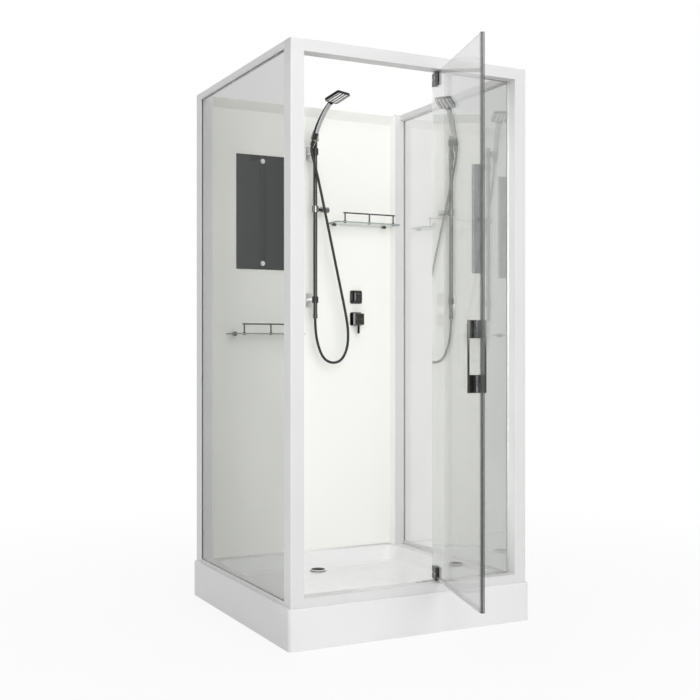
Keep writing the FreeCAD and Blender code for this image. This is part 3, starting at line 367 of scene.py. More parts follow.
def seen(tree):
    """One for what the camera, a reflection or a pane looks at, none for light."""
    path = tree.nodes.new("ShaderNodeLightPath")
    looks = reckon(tree, "MAXIMUM", path.outputs["Is Camera Ray"], path.outputs["Is Glossy Ray"])
    return reckon(tree, "MAXIMUM", looks, path.outputs["Is Transmission Ray"])


class Finish:
    """A node material that is being put together, with textures in the object's own metres."""

    def __init__(self, name):
        self.material = bpy.data.materials.new(name)
        self.material.use_nodes = True
        self.tree = self.material.node_tree
        self.nodes = self.tree.nodes
        self.links = self.tree.links
        self.shader = self.nodes["Principled BSDF"]
        self.output = self.nodes["Material Output"]
        self.place = self.nodes.new("ShaderNodeTexCoord")

    def put(self, **values):
        """Set plain values on the shader's sockets, underscores standing for spaces."""
        for name, value in values.items():
            self.shader.inputs[name.replace("_", " ")].default_value = value

    def noise(self, scale, detail=2.0, stretch=(1.0, 1.0, 1.0)):
        """Soft noise with features about 1/scale metres wide."""
        mapping = self.nodes.new("ShaderNodeMapping")
        mapping.inputs["Scale"].default_value = stretch
        self.links.new(self.place.outputs["Object"], mapping.inputs["Vector"])
        texture = self.nodes.new("ShaderNodeTexNoise")
        texture.inputs["Scale"].default_value = scale
        texture.inputs["Detail"].default_value = detail
        self.links.new(mapping.outputs["Vector"], texture.inputs["Vector"])
        return texture.outputs["Fac"]

    def cells(self, scale):
        """Crystal-like patches of even value."""
        texture = self.nodes.new("ShaderNodeTexVoronoi")
        texture.inputs["Scale"].default_value = scale
        self.links.new(self.place.outputs["Object"], texture.inputs["Vector"])
        return texture.outputs["Color"]

    def ramp(self, source, start, end, low=0.0, high=1.0):
        """A value that goes from low to high as the source goes from start to end."""
        spread = self.nodes.new("ShaderNodeMapRange")
        spread.inputs["From Min"].default_value = start
        spread.inputs["From Max"].default_value = end
        spread.inputs["To Min"].default_value = low
        spread.inputs["To Max"].default_value = high
        self.links.new(source, spread.inputs["Value"])
        return spread.outputs["Result"]

    def reach(self, source, direction):
        """How far a place lies, or a normal points, along a direction."""
        dot = self.nodes.new("ShaderNodeVectorMath")
        dot.operation = "DOT_PRODUCT"
        dot.inputs[1].default_value = direction
        self.links.new(self.place.outputs[source], dot.inputs[0])
        return dot.outputs["Value"]

    def between(self, source, low, high):
        """A value from low to high as the source goes through the middle of its range."""
        return self.ramp(source, NOISE_LOW, NOISE_HIGH, low, high)

    def mottle(self, source, colour, change):
        """A colour that darkens a little where the source is low."""
        blend = self.nodes.new("ShaderNodeMix")
        blend.data_type = "RGBA"
        blend.inputs["A"].default_value = [channel * (1.0 - change) for channel in colour] + [1.0]
        blend.inputs["B"].default_value = [min(1.0, channel * (1.0 + change)) for channel in colour] + [1.0]
        self.links.new(self.between(source, 0.0, 1.0), blend.inputs["Factor"])
        return blend.outputs["Result"]

    def colour(self, source, colour, change):
        """The shader's colour, mottled by the source."""
        self.links.new(self.mottle(source, colour, change), self.shader.inputs["Base Color"])

    def slant(self, fall):
        """None where the surface is seen square on, one at a grazing look."""
        weight = self.nodes.new("ShaderNodeLayerWeight")
        return reckon(self.tree, "POWER", weight.outputs["Facing"], fall)

    def along(self, source, direction, low, high):
        """None up to low along a direction and one from high on, for a place or a normal."""
        return self.ramp(self.reach(source, direction), low, high)

    def rows(self, direction, middle, pitch, width):
        """One on evenly spaced rows that lie either side of the middle, none between them."""
        moved = reckon(self.tree, "SUBTRACT", self.reach("Object", direction), middle + pitch / 2.0)
        distance = reckon(self.tree, "PINGPONG", moved, pitch / 2.0)
        return self.ramp(distance, width / 2.0, width / 2.0 + NOZZLE_BLUR, low=1.0, high=0.0)

    def rim(self, normal):
        """One on the cut edges all round a plate, none on its two faces."""
        facing = reckon(self.tree, "ABSOLUTE", self.reach("Normal", normal))
        return reckon(self.tree, "LESS_THAN", facing, RIM_LIMIT)

    def two_tone(self, share, first, second):
        """The first colour, giving way to the second with the share."""
        blend = self.nodes.new("ShaderNodeMix")
        blend.data_type = "RGBA"
        self.links.new(share, blend.inputs["Factor"])
        self.links.new(first, blend.inputs["A"])
        self.links.new(second, blend.inputs["B"])
        self.links.new(blend.outputs["Result"], self.shader.inputs["Base Color"])

    def rough(self, source, low, high):
        """The shader's roughness, which follows the source from low to high."""
        self.links.new(self.between(source, low, high), self.shader.inputs["Roughness"])

    def cover(self, source, low, high):
        """How far the surface hides what is behind it, from low to high with the source."""
        self.links.new(self.between(source, low, high), self.shader.inputs["Alpha"])

    def relief(self, source, strength, depth):
        """Fine relief of the surface, with its depth in metres."""
        bump = self.nodes.new("ShaderNodeBump")
        bump.inputs["Strength"].default_value = strength
        bump.inputs["Distance"].default_value = depth
        self.links.new(source, bump.inputs["Height"])
        self.links.new(bump.outputs["Normal"], self.shader.inputs["Normal"])


def white_enamel(colour):
    """Powder coat: fine orange peel and a satin gloss."""
    finish = Finish("white_enamel")
    peel = finish.noise(750.0, detail=1.0)
    finish.colour(finish.noise(5.0), colour, change=0.012)
    finish.rough(peel, low=0.30, high=0.40)
    finish.relief(peel, strength=0.10, depth=0.0003)
    return finish.material


def white_acrylic(colour):
    """Glossy cast sheet with slight waves."""
    finish = Finish("white_acrylic")
    finish.colour(finish.noise(4.0), colour, change=0.010)
    finish.rough(finish.noise(30.0), low=0.16, high=0.24)
    finish.relief(finish.noise(22.0, detail=1.0), strength=0.02, depth=0.0006)
    return finish.material


def wall_panel(colour):
    """Smooth laminate with a low sheen."""
    finish = Finish("wall_panel")
    finish.colour(finish.noise(1.2, detail=0.0), colour, change=0.003)
    finish.rough(finish.noise(60.0), low=0.30, high=0.34)
    finish.relief(finish.noise(420.0, detail=1.0), strength=0.01, depth=0.0001)
    return finish.material


def white_plastic():
    """Moulded white plastic with a fine grain."""
    finish = Finish("white_plastic")
    grain = finish.noise(1600.0)
    finish.colour(finish.noise(60.0), (0.80, 0.80, 0.80), change=0.015)
    finish.rough(grain, low=0.36, high=0.46)
    finish.relief(grain, strength=0.12, depth=0.0002)
    return finish.material


def galvanised_steel():
    """Zinc coat with its spangle."""
    finish = Finish("galvanised_steel")
    spangle = finish.cells(90.0)
    finish.put(Metallic=0.9)
    finish.colour(spangle, (0.58, 0.59, 0.60), change=0.14)
    finish.rough(finish.noise(140.0), low=0.32, high=0.48)
    finish.relief(finish.noise(260.0), strength=0.08, depth=0.0003)
    return finish.material


def black_plastic():
    """Moulded black plastic with a leathery grain."""
    finish = Finish("black_plastic")
    grain = finish.noise(1100.0, detail=3.0)
    finish.colour(grain, (0.030, 0.030, 0.031), change=0.2)
    finish.rough(grain, low=0.42, high=0.58)
    finish.relief(grain, strength=0.2, depth=0.0003)
    return finish.material


def grey_plastic():
    """Grey pipe plastic with faint drawing lines."""
    finish = Finish("grey_plastic")
    lines = finish.noise(240.0, stretch=(1.0, 0.05, 1.0))
    finish.colour(lines, (0.38, 0.39, 0.40), change=0.06)
    finish.rough(lines, low=0.34, high=0.44)
    finish.relief(lines, strength=0.08, depth=0.0003)
    return finish.material


def grey_rubber():
    """Matt extruded rubber."""
    finish = Finish("grey_rubber")
    grain = finish.noise(1400.0)
    finish.colour(finish.noise(40.0), (0.84, 0.84, 0.84), change=0.04)
    finish.rough(grain, low=0.55, high=0.70)
    finish.relief(grain, strength=0.18, depth=0.0002)
    return finish.material


def black_metal():
    """Black satin coat of the hinges."""
    finish = Finish("black_metal")
    peel = finish.noise(1300.0, detail=1.0)
    finish.colour(finish.noise(50.0), (0.018, 0.018, 0.019), change=0.2)
    finish.rough(peel, low=0.28, high=0.36)
    finish.relief(peel, strength=0.08, depth=0.0002)
    return finish.material


def dark_chrome(name, colour):
    """Polished plating painted dark as a reflection of dark surroundings, with a painted highlight at a
    grazing look, slightly uneven where it has been wiped.
    """
    finish = Finish(name)
    wiped = finish.noise(38.0, detail=3.0)
    finish.put(Metallic=1.0)
    plating = finish.mottle(wiped, colour, change=0.10)
    # Painted highlight: the colour turns pale where the surface is seen at a slant
    gleam = finish.mottle(wiped, (0.92, 0.92, 0.92), change=0.02)
    finish.two_tone(finish.slant(fall=1.7), plating, gleam)
    finish.rough(wiped, low=0.06, high=0.13)
    finish.relief(finish.noise(190.0, detail=1.0), strength=0.02, depth=0.0002)
    return finish.material


def drain_metal():
    """Dark satin lid with a bright sloping border."""
    finish = Finish("drain_metal")
    turned = finish.noise(260.0)
    finish.put(Specular_IOR_Level=0.15)
    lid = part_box("drain_cover")[1].z
    on_lid = finish.along("Object", UP, lid - LID_STEP, lid - LID_STEP + LID_SEAM)
    border = finish.mottle(turned, (0.66, 0.66, 0.66), change=0.06)
    finish.two_tone(on_lid, border, finish.mottle(turned, (0.012, 0.012, 0.013), change=0.15))
    finish.rough(turned, low=0.44, high=0.56)
    finish.relief(turned, strength=0.05, depth=0.0002)
    return finish.material


def bracket_chrome():
    """Satin wall plates with dark rings in front."""
    finish = Finish("bracket_chrome")
    brushed = finish.noise(900.0, stretch=(1.0, 1.0, 0.06))
    finish.put(Metallic=0.85)
    ring_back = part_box("upper_riser_bracket")[0].y + BRACKET_RING
    on_plate = finish.along("Object", BACK, ring_back, ring_back + SEAM)
    ring = finish.mottle(brushed, (0.045, 0.045, 0.046), change=0.10)
    finish.two_tone(on_plate, ring, finish.mottle(brushed, (0.74, 0.74, 0.73), change=0.05))
    finish.rough(brushed, low=0.26, high=0.36)
    finish.relief(brushed, strength=0.05, depth=0.0002)
    return finish.material


def plated_plastic():
    """Bright plated plastic with painted shade along one flank, and dark round the head."""
    finish = Finish("plated_plastic")
    waves = finish.noise(70.0)
    finish.put(Metallic=1.0)
    # Painted shade: faces turned towards one flank are coloured dark
    on_painted_shade = finish.along("Normal", PAINTED_SHADE_SIDE, PAINTED_SHADE_FROM, PAINTED_SHADE_TO)
    head_start = span("spray_plate", HEAD_LEAD)[0] - HEAD_RIM
    on_head = finish.along("Object", HEAD_LEAD, head_start, head_start + SEAM)
    bright = finish.mottle(waves, (0.60, 0.60, 0.61), change=0.06)
    dark = finish.mottle(waves, (0.022, 0.022, 0.023), change=0.12)
    finish.two_tone(reckon(finish.tree, "MAXIMUM", on_painted_shade, on_head), bright, dark)
    finish.rough(waves, low=0.06, high=0.13)
    finish.relief(waves, strength=0.03, depth=0.0004)
    return finish.material


def spray_rubber():
    """Pale spray face with darker rows of soft nozzles."""
    finish = Finish("spray_rubber")
    grain = finish.noise(1500.0)
    near, far = span("spray_plate", SHOWER_ACROSS)
    on_row = finish.rows(SHOWER_ACROSS, (near + far) / 2.0, NOZZLE_PITCH, NOZZLE_WIDTH)
    pale = finish.mottle(finish.noise(160.0), (0.93, 0.93, 0.92), change=0.04)
    finish.two_tone(on_row, pale, finish.mottle(grain, (0.04, 0.04, 0.041), change=0.10))
    finish.rough(grain, low=0.38, high=0.52)
    finish.relief(grain, strength=0.12, depth=0.0002)
    return finish.material


def hose_sleeve():
    """Dark metallic sleeve, slightly mottled."""
    finish = Finish("hose_sleeve")
    mottling = finish.noise(420.0)
    finish.put(Metallic=0.75)
    finish.colour(mottling, (0.042, 0.042, 0.043), change=0.15)
    finish.rough(mottling, low=0.24, high=0.36)
    finish.relief(mottling, strength=0.06, depth=0.0002)
    return finish.material


def brass():
    """Raw cast brass with a fine grain and dull patches."""
    finish = Finish("brass")
    patches = finish.noise(80.0, detail=4.0)
    finish.put(Metallic=1.0)
    finish.colour(patches, (0.56, 0.40, 0.17), change=0.16)
    finish.rough(patches, low=0.30, high=0.48)
    finish.relief(finish.noise(600.0), strength=0.12, depth=0.0003)
    return finish.material


def mirror_glass(colour):
    """Mirror under clear glass, its silvering painted dark as a reflection of dark surroundings."""
    finish = Finish("mirror_glass")
    finish.put(Metallic=1.0)
    # Painted reflection: the silvering colour is kept dark
    finish.colour(finish.noise(3.0), colour, change=0.06)
    finish.rough(finish.noise(16.0), low=0.015, high=0.035)
    return finish.material


def clear_seal(name, colour, cover):
    """Soft clear strip that shows a little of what is behind it."""
    finish = Finish(name)
    streaks = finish.noise(300.0, stretch=(1.0, 1.0, 0.04))
    finish.colour(streaks, colour, change=0.05)
    finish.rough(streaks, low=0.22, high=0.34)
    finish.cover(streaks, low=cover * 0.9, high=cover * 1.1)
    return finish.material


def magnet_seal():
    """Clear strip with a dark magnet in the nose that stands past the glass."""
    finish = Finish("magnet_seal")
    streaks = finish.noise(300.0, stretch=(1.0, 1.0, 0.04))
    finish.colour(streaks, (0.035, 0.035, 0.035), change=0.05)
    finish.rough(streaks, low=0.32, high=0.44)
    glass_end = span("door_glass", DOOR_FREE_SIDE)[1]
    on_nose = finish.along("Object", DOOR_FREE_SIDE, glass_end, glass_end + SEAM)
    finish.cover(on_nose, low=0.06, high=0.62)
    return finish.material


def glaze(finish, on_cut, tint, edge, gleam, fall, lean=0.0):
    """Glass that tints what is behind it, mirrors at a slant and is solid on its cut edge.

    The gleam is how bright its mirror image is, the fall how soon that fades as the look comes square,
    and the lean how far it turns about the vertical.
    """
    nodes, links = finish.nodes, finish.links
    clear = nodes.new("ShaderNodeBsdfTransparent")
    links.new(finish.mottle(finish.noise(2.0), tint, change=0.012), clear.inputs["Color"])
    gloss = nodes.new("ShaderNodeBsdfGlossy")
    gloss.inputs["Color"].default_value = (gleam, gleam, gleam, 1.0)
    links.new(finish.between(finish.noise(9.0), low=0.0, high=0.012), gloss.inputs["Roughness"])
    if lean:
        surface = nodes.new("ShaderNodeNewGeometry")
        leaned = nodes.new("ShaderNodeVectorRotate")
        leaned.rotation_type = "Z_AXIS"
        leaned.inputs["Angle"].default_value = lean
        links.new(surface.outputs["Normal"], leaned.inputs["Vector"])
        links.new(leaned.outputs["Vector"], gloss.inputs["Normal"])
    shine = finish.ramp(finish.slant(fall), 0.0, 1.0, low=LEAST_SHINE)
    face = mix_shaders(finish.tree, shine, clear.outputs["BSDF"], gloss.outputs["BSDF"])
    finish.colour(finish.noise(35.0), edge, change=0.10)
    finish.rough(finish.noise(220.0), low=0.12, high=0.22)
    pane = mix_shaders(finish.tree, on_cut, face, finish.shader.outputs["BSDF"])
    links.new(pane, finish.output.inputs["Surface"])
    return finish.material


def pane_glass(name, node, tint, bare_side, gleam, fall, lean=0.0):
    """Grey glass of a hung pane, dark on the cut edge that lies farthest to its bare side."""
    finish = Finish(name)
    cut = span(node, bare_side)[1] - CUT_SKIN
    on_cut = finish.along("Object", bare_side, cut, cut + CUT_SKIN / 2.0)
    return glaze(finish, on_cut, tint, CUT_EDGE, gleam, fall, lean)


def shelf_glass():
    """Clear glass with green-grey cut edges."""
    finish = Finish("shelf_glass")
    tint = (0.96, 0.97, 0.965)
    edge = (0.30, 0.34, 0.325)
    return glaze(finish, finish.rim(UP), tint, edge, gleam=0.96, fall=4.0)


def sealant():
    """White sealant, tooled by hand."""
    finish = Finish("sealant")
    tooled = finish.noise(120.0)
    finish.colour(tooled, (0.82, 0.82, 0.81), change=0.02)
    finish.rough(tooled, low=0.30, high=0.42)
    finish.relief(tooled, strength=0.15, depth=0.0006)
    return finish.material


def dress(finish, *names):
    """Give CAD nodes a finish."""
    for name in names:
        for slot in NODES[name].material_slots:
            slot.material = finish


def new_piece(name, shape, finish, body, smooth=True):
    """Turn a bmesh into a piece that rides on a body."""
    mesh = bpy.data.meshes.new(name)
    bmesh.ops.recalc_face_normals(shape, faces=shape.faces)
    shape.to_mesh(mesh)
    shape.free()
    for polygon in mesh.polygons:
        polygon.use_smooth = smooth
    piece = bpy.data.objects.new(name, mesh)
    bpy.context.scene.collection.objects.link(piece)
    mesh.materials.append(finish)
    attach(piece, body)
    return piece


def skin(shape, rings):
    """Join a row of like rings of points by faces and close both ends."""
    for lower, upper in zip(rings, rings[1:]):
        count = len(lower)
        for index in range(count):
            after = (index + 1) % count
            shape.faces.new((lower[index], lower[after], upper[after], upper[index]))
    shape.faces.new(list(reversed(rings[0])))
    shape.faces.new(rings[-1])


def spoke(across, aside, angle):
    """The direction at an angle between two directions that meet square."""
    return across * math.cos(angle) + aside * math.sin(angle)


def spline_points(route, name):
    """Points read from the smooth curve that the points of the route steer."""
    curve = bpy.data.curves.new(name, "CURVE")
    curve.dimensions = "3D"
    curve.resolution_u = 24
    spline = curve.splines.new("NURBS")
    spline.points.add(len(route) - 1)
    for point, place in zip(spline.points, route):
        point.co = (*place, 1.0)
    spline.order_u = 3
    spline.use_endpoint_u = True
    holder = bpy.data.objects.new(name, curve)
    bpy.context.scene.collection.objects.link(holder)
    bpy.context.view_layer.update()
    mesh = bpy.data.meshes.new_from_object(holder)
    points = [vertex.co.copy() for vertex in mesh.vertices]
    bpy.data.objects.remove(holder)
    bpy.data.curves.remove(curve)
    bpy.data.meshes.remove(mesh)
    return points


def even_steps(points, step):
    """Points at even distances along a row of points, both ends kept."""
    lengths = [0.0]
    for before, after in zip(points, points[1:]):
        lengths.append(lengths[-1] + (after - before).length)
    count = max(2, round(lengths[-1] / step))
    placed = []
    segment = 0
    for number in range(count + 1):
        target = lengths[-1] * number / count
        while segment < len(points) - 2 and lengths[segment + 1] < target:
            segment += 1
        stretch = lengths[segment + 1] - lengths[segment]
        share = (target - lengths[segment]) / stretch if stretch else 0.0
        placed.append(points[segment].lerp(points[segment + 1], share))
    return placed


def wound_tube(points, radius, depth, pitch, step, sides):
    """A tube along points whose radius swells and narrows with each winding."""
    shape = bmesh.new()
    ahead = (points[1] - points[0]).normalized()
    across = ahead.orthogonal().normalized()
    rings = []
    for number, place in enumerate(points):
        following = points[min(number + 1, len(points) - 1)]
        before = points[max(number - 1, 0)]
        direction = (following - before).normalized()
        across = (across - direction * across.dot(direction)).normalized()
        aside = direction.cross(across)
        ring = []
        for side in range(sides):
            angle = 2.0 * math.pi * side / sides
            swell = math.cos(2.0 * math.pi * number * step / pitch + angle)
            reach = radius - depth * (0.5 - 0.5 * swell)
            ring.append(shape.verts.new(place + spoke(across, aside, angle) * reach))
        rings.append(ring)
    skin(shape, rings)
    return shape


def add_screw(shape, place, normal, radius, height):
    """A domed screw head with a hexagon socket."""
    across = normal.orthogonal().normalized()
    aside = normal.cross(across)
    rings = []
    for width, lift, hexagon in SCREW_PROFILE:
        ring = []
        for number in range(SCREW_SIDES):
            angle = 2.0 * math.pi * number / SCREW_SIDES
            reach = radius * width
            if hexagon:
                reach /= math.cos(angle % (math.pi / 3.0) - math.pi / 6.0)
            offset = spoke(across, aside, angle) * reach
            ring.append(shape.verts.new(place + offset + normal * (height * lift)))
        rings.append(ring)
    skin(shape, rings)


def add_bead(shape, start, end, toward, lift, leg):
    """A hollow-faced sealant bead in the corner between two faces that meet square."""
    profile = [Vector((0.0, 0.0))]
    for number in range(BEAD_STEPS + 1):
        angle = math.pi / 2.0 * number / BEAD_STEPS
        profile.append(Vector((leg * (1.0 - math.sin(angle)), leg * (1.0 - math.cos(angle)))))
    rings = []
    for place in (start, end):
        rings.append([shape.verts.new(place + toward * point.x + lift * point.y) for point in profile])
    skin(shape, rings)


class CABIN_OT_tray(bpy.types.Operator):
    """Finish the tray, its feet and the trap"""

    bl_idname = "cabin.tray"
    bl_label = "Tray and Trap"

    def execute(self, context):
        colours = context.scene.cabin_finishes
        dress(white_acrylic(colours.acrylic), "shower_tray")
        dress(black_plastic(), "levelling_feet")
        dress(grey_plastic(), "drain_trap")
        return {"FINISHED"}


class CABIN_OT_frame(bpy.types.Operator):
    """Finish the posts, rails, threshold, sills, caps and plain steel pieces"""

    bl_idname = "cabin.frame"
    bl_label = "Frame"

    def execute(self, context):
        colour = context.scene.cabin_finishes.enamel
        enamel = white_enamel(colour)
        dress(enamel, "front_left_post", "front_right_post", "rear_right_post")
        dress(enamel, "front_top_rail", "rear_top_rail", "right_top_rail")
        # A lighter copy of the enamel as painted light, for the rear left post and the left rail that lie in
        # shade
        painted_light_enamel = white_enamel([channel * PAINTED_LIGHT_GAIN for channel in colour])
        dress(painted_light_enamel, "rear_left_post", "left_top_rail")
        dress(enamel, "threshold", "side_sills")
        dress(white_plastic(), "post_caps", "mirror_caps", "post_magnet_strip")
        dress(galvanised_steel(), "tray_support_frame", "pivot_pins", "handle_bolts", "lower_pivot_plate")
        return {"FINISHED"}


class CABIN_OT_walls(bpy.types.Operator):
    """Finish the back wall, the panes and their seals, and run the sealant"""

    bl_idname = "cabin.walls"
    bl_label = "Walls and Panes"

    def execute(self, context):
        colours = context.scene.cabin_finishes
        dress(wall_panel(colours.wall), "back_wall")
        tint = colours.glass
        left = pane_glass("left_pane_glass", "left_glass", tint, UP, gleam=0.3, fall=5.0)
        dress(left, "left_glass")
        right = pane_glass(
            "right_pane_glass", "right_glass", tint, UP, gleam=0.98, fall=2.2, lean=RIGHT_PANE_LEAN,
        )
        dress(right, "right_glass")
        front = pane_glass("front_pane_glass", "fixed_glass", tint, UP, gleam=0.5, fall=4.0)
        dress(front, "fixed_glass")
        door = pane_glass(
            "door_pane_glass", "door_glass", tint, DOOR_FREE_SIDE, gleam=0.95, fall=3.5, lean=DOOR_LEAN,
        )
        dress(door, "door_glass")
        dress(grey_rubber(), "left_gaskets", "right_gaskets")
        dress(clear_seal("clear_seal", (0.58, 0.59, 0.59), cover=0.5), "fixed_panel_seal")
        dress(clear_seal("sweep_seal", (0.82, 0.83, 0.83), cover=0.16), "door_bottom_seal")
        dress(magnet_seal(), "door_magnet_seal")
        self.seal(context.scene.cabin_trim.bead)
        return {"FINISHED"}

    def seal(self, leg):
        """Beads along the foot of the back wall, along each side sill and down the fixed pane's post."""
        shape = bmesh.new()
        wall_low, wall_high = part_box("back_wall")
        # The back of the mirror lies on the face of the wall
        wall_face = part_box("mirror")[1].y
        sill_low, sill_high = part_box("side_sills")
        tray_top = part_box("shower_tray")[1].z
        left = Vector((wall_low.x + WALL_FLANK, wall_face, tray_top))
        right = Vector((wall_high.x - WALL_FLANK, wall_face, tray_top))
        add_bead(shape, left, right, FORWARD, UP, leg)
        for inner, toward in ((sill_low.x + SILL_WIDTH, RIGHT), (sill_high.x - SILL_WIDTH, LEFT)):
            front = Vector((inner, sill_low.y, tray_top))
            back = Vector((inner, wall_low.y, tray_top))
            add_bead(shape, front, back, toward, UP, leg)
        post_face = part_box("front_right_post")[0].x
        pane_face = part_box("fixed_glass")[0].y
        foot = Vector((post_face, pane_face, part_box("threshold")[1].z))
        head = Vector((post_face, pane_face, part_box("front_top_rail")[0].z))
        add_bead(shape, foot, head, LEFT, FORWARD, leg)
        new_piece("sealant_beads", shape, sealant(), "cabin")


class CABIN_OT_door(bpy.types.Operator):
    """Finish the hinges and the bush, and add the hinge screws"""

    bl_idname = "cabin.door"
    bl_label = "Door Hardware"

    def execute(self, context):
        trim = context.scene.cabin_trim
        dress(black_metal(), "upper_hinge", "lower_hinge")
        dress(black_plastic(), "upper_pivot_bush")
        shape = bmesh.new()
        for hinge in ("upper_hinge", "lower_hinge"):
            low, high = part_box(hinge)
            height = (low.z + high.z) / 2.0
            for face in (-1.0, 1.0):
                for step in (-0.5, 0.5):
                    shut = Vector((trim.screw_spacing * step, face * HINGE_HALF_DEPTH, height))
                    place = DOOR_PIVOT + DOOR_TURN @ shut
                    add_screw(shape, place, DOOR_NORMAL * face, trim.screw_radius, trim.screw_height)
        new_piece("hinge_screws", shape, galvanised_steel(), "door", smooth=False)
        return {"FINISHED"}


class CABIN_OT_mirror(bpy.types.Operator):
    """Finish the smoked mirror"""

    bl_idname = "cabin.mirror"
    bl_label = "Mirror"

    def execute(self, context):
        dress(mirror_glass(context.scene.cabin_finishes.mirror), "mirror")
        return {"FINISHED"}


class CABIN_OT_fittings(bpy.types.Operator):
    """Finish the shelves, handles, riser, hand shower, valves and drain cover"""

    bl_idname = "cabin.fittings"
    bl_label = "Shelves and Fittings"

    def execute(self, context):
        colours = context.scene.cabin_finishes
        # Chrome whose dark colour and grazing gleam are painted reflection and painted highlight
        chrome = dark_chrome("dark_chrome", colours.chrome)
        # Darker copy of the chrome as painted shade for the valves
        valve_chrome = dark_chrome("valve_chrome", colours.valve_chrome)
        # Lighter copy of the chrome as painted highlight for the slider
        slider_chrome = dark_chrome("slider_chrome", colours.slider_chrome)
        dress(shelf_glass(), "left_shelf", "right_shelf")
        dress(drain_metal(), "drain_cover")
        dress(chrome, "outer_handle", "inner_handle", "riser_rail")
        dress(chrome, "left_shelf_gallery", "right_shelf_gallery", "shelf_clips")
        dress(chrome, "upper_hose_nut", "lower_hose_nut", "shower_holder")
        dress(valve_chrome, "mixer_plate", "mixer_lever", "mixer_stem", "diverter_plate", "diverter_knob")
        dress(bracket_chrome(), "upper_riser_bracket", "lower_riser_bracket")
        dress(slider_chrome, "slider_body", "slider_knob")
        dress(plated_plastic(), "hand_shower")
        dress(spray_rubber(), "spray_plate")
        dress(brass(), "valve_body", "riser_supply_pipe")
        return {"FINISHED"}


class CABIN_OT_hose(bpy.types.Operator):
    """Wind the shower hose along its route"""

    bl_idname = "cabin.hose"
    bl_label = "Shower Hose"

    def execute(self, context):
        hose = context.scene.cabin_hose
        step = hose.rib_pitch / RINGS_PER_RIB
        points = even_steps(spline_points(HOSE_ROUTE, "hose_route"), step)
        shape = wound_tube(points, hose.diameter / 2.0, hose.rib_depth, hose.rib_pitch, step, hose.sides)
        piece = new_piece("wound_hose", shape, hose_sleeve(), "cabin")
        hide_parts("shower_hose")
        return {"FINISHED"}


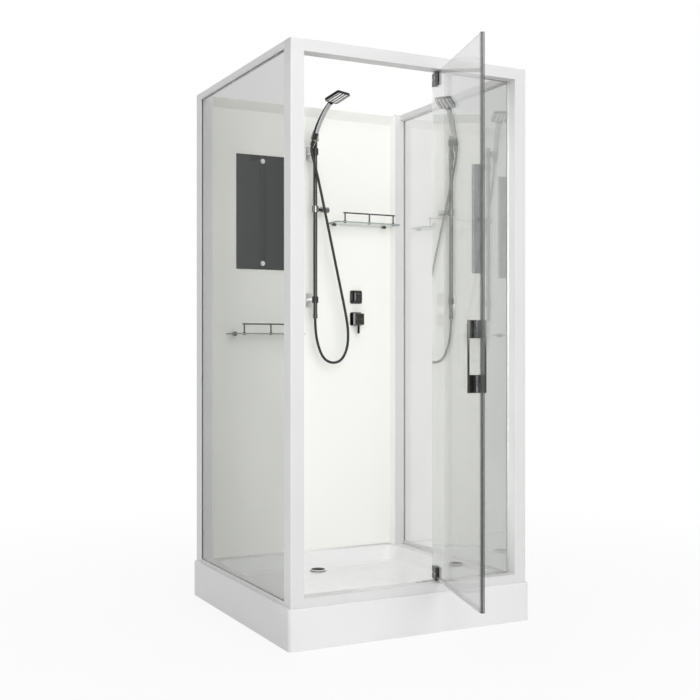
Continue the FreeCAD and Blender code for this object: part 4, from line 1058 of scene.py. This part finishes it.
class CABIN_OT_stage(bpy.types.Operator):
    """Set up the camera, the lamps, the sky and the floor"""

    bl_idname = "cabin.stage"
    bl_label = "Stage"

    def execute(self, context):
        scene = context.scene
        stage = scene.cabin_stage
        scene.view_settings.view_transform = "Standard"
        self.camera(scene, stage)
        self.sky(scene, stage)
        self.floor(scene, stage)
        for lamp in LAMPS:
            self.light(scene, lamp, getattr(stage, lamp.name))
        return {"FINISHED"}

    def camera(self, scene, stage):
        """A level camera that looks along its heading."""
        camera = bpy.data.cameras.new("camera")
        camera.lens = stage.camera_lens
        camera.sensor_width = SENSOR_WIDTH
        camera.shift_y = stage.camera_shift
        holder = bpy.data.objects.new("camera", camera)
        holder.location = stage.camera_place
        holder.rotation_euler = (math.radians(90.0), 0.0, stage.camera_heading)
        scene.collection.objects.link(holder)
        scene.camera = holder

    def sky(self, scene, stage):
        """Even light from all round, with plain white behind the cabin."""
        world = bpy.data.worlds.new("sky")
        world.use_nodes = True
        tree = world.node_tree
        light = tree.nodes["Background"]
        light.inputs["Color"].default_value = (1.0, 1.0, 1.0, 1.0)
        light.inputs["Strength"].default_value = stage.sky
        white = tree.nodes.new("ShaderNodeBackground")
        white.inputs["Color"].default_value = (1.0, 1.0, 1.0, 1.0)
        white.inputs["Strength"].default_value = 1.0
        choice = mix_shaders(tree, seen(tree), light.outputs["Background"], white.outputs["Background"])
        tree.links.new(choice, tree.nodes["World Output"].inputs["Surface"])
        scene.world = world

    def floor(self, scene, stage):
        """A plain pale floor that turns white away from the cabin and keeps the cabin's shadow."""
        shape = bmesh.new()
        half = stage.floor_side / 2.0
        corners = ((-half, -half), (half, -half), (half, half), (-half, half))
        shape.faces.new([shape.verts.new((x, y, 0.0)) for x, y in corners])
        mesh = bpy.data.meshes.new("studio_floor")
        shape.to_mesh(mesh)
        shape.free()
        floor = bpy.data.objects.new("studio_floor", mesh)
        scene.collection.objects.link(floor)
        mesh.materials.append(self.floor_finish())

    def floor_finish(self):
        """Matt pale paint, with a white glow for what looks at it and none for light."""
        finish = Finish("studio_floor")
        finish.colour(finish.noise(3.0), (0.86, 0.86, 0.86), change=0.01)
        finish.rough(finish.noise(12.0), low=0.85, high=0.95)
        glow = finish.nodes.new("ShaderNodeEmission")
        glow.inputs["Color"].default_value = (1.0, 1.0, 1.0, 1.0)
        distance = finish.nodes.new("ShaderNodeVectorMath")
        distance.operation = "LENGTH"
        finish.links.new(finish.place.outputs["Object"], distance.inputs[0])
        whiter = finish.ramp(distance.outputs["Value"], FLOOR_NEAR, FLOOR_FAR, low=FLOOR_SHARE)
        share = reckon(finish.tree, "MULTIPLY", seen(finish.tree), whiter)
        paint = finish.shader.outputs["BSDF"]
        choice = mix_shaders(finish.tree, share, paint, glow.outputs["Emission"])
        finish.links.new(choice, finish.output.inputs["Surface"])
        return finish.material

    def light(self, scene, lamp, power):
        """One area lamp, hidden from the camera."""
        area = bpy.data.lights.new(lamp.name, "AREA")
        area.shape = "RECTANGLE"
        area.size, area.size_y = lamp.size
        area.spread = math.radians(lamp.spread)
        area.energy = power
        holder = bpy.data.objects.new(lamp.name, area)
        holder.location = lamp.place
        look = Vector(lamp.aim) - Vector(lamp.place)
        holder.rotation_euler = look.to_track_quat("-Z", "Y").to_euler()
        holder.visible_camera = False
        holder.visible_glossy = lamp.mirrored
        scene.collection.objects.link(holder)


STEPS = (
    CABIN_OT_tray,
    CABIN_OT_frame,
    CABIN_OT_walls,
    CABIN_OT_door,
    CABIN_OT_mirror,
    CABIN_OT_fittings,
    CABIN_OT_hose,
    CABIN_OT_stage,
)


class CABIN_PT_dresser(bpy.types.Panel):
    """Lists the cabin's steps in the sidebar"""

    bl_idname = "CABIN_PT_dresser"
    bl_label = "Shower Cabin"
    bl_space_type = "VIEW_3D"
    bl_region_type = "UI"
    bl_category = "Cabin"

    def draw(self, context):
        """One button for each step."""
        for step in STEPS:
            self.layout.operator(step.bl_idname)


GROUPS = {
    "cabin_finishes": CabinFinishes,
    "cabin_hose": CabinHose,
    "cabin_trim": CabinTrim,
    "cabin_stage": CabinStage,
}


def register():
    """Add the property groups, the steps and the panel."""
    for name, group in GROUPS.items():
        bpy.utils.register_class(group)
        setattr(bpy.types.Scene, name, bpy.props.PointerProperty(type=group))
    for step in STEPS:
        bpy.utils.register_class(step)
    bpy.utils.register_class(CABIN_PT_dresser)


def unregister():
    """Take away what register added, in reverse."""
    bpy.utils.unregister_class(CABIN_PT_dresser)
    for step in reversed(STEPS):
        bpy.utils.unregister_class(step)
    for name, group in reversed(GROUPS.items()):
        delattr(bpy.types.Scene, name)
        bpy.utils.unregister_class(group)


def main():
    """Dress the cabin step by step."""
    register()
    bpy.ops.cabin.tray()
    bpy.ops.cabin.frame()
    bpy.ops.cabin.walls()
    bpy.ops.cabin.door()
    bpy.ops.cabin.mirror()
    bpy.ops.cabin.fittings()
    bpy.ops.cabin.hose()
    bpy.ops.cabin.stage()


if __name__ == "__main__":
    main()
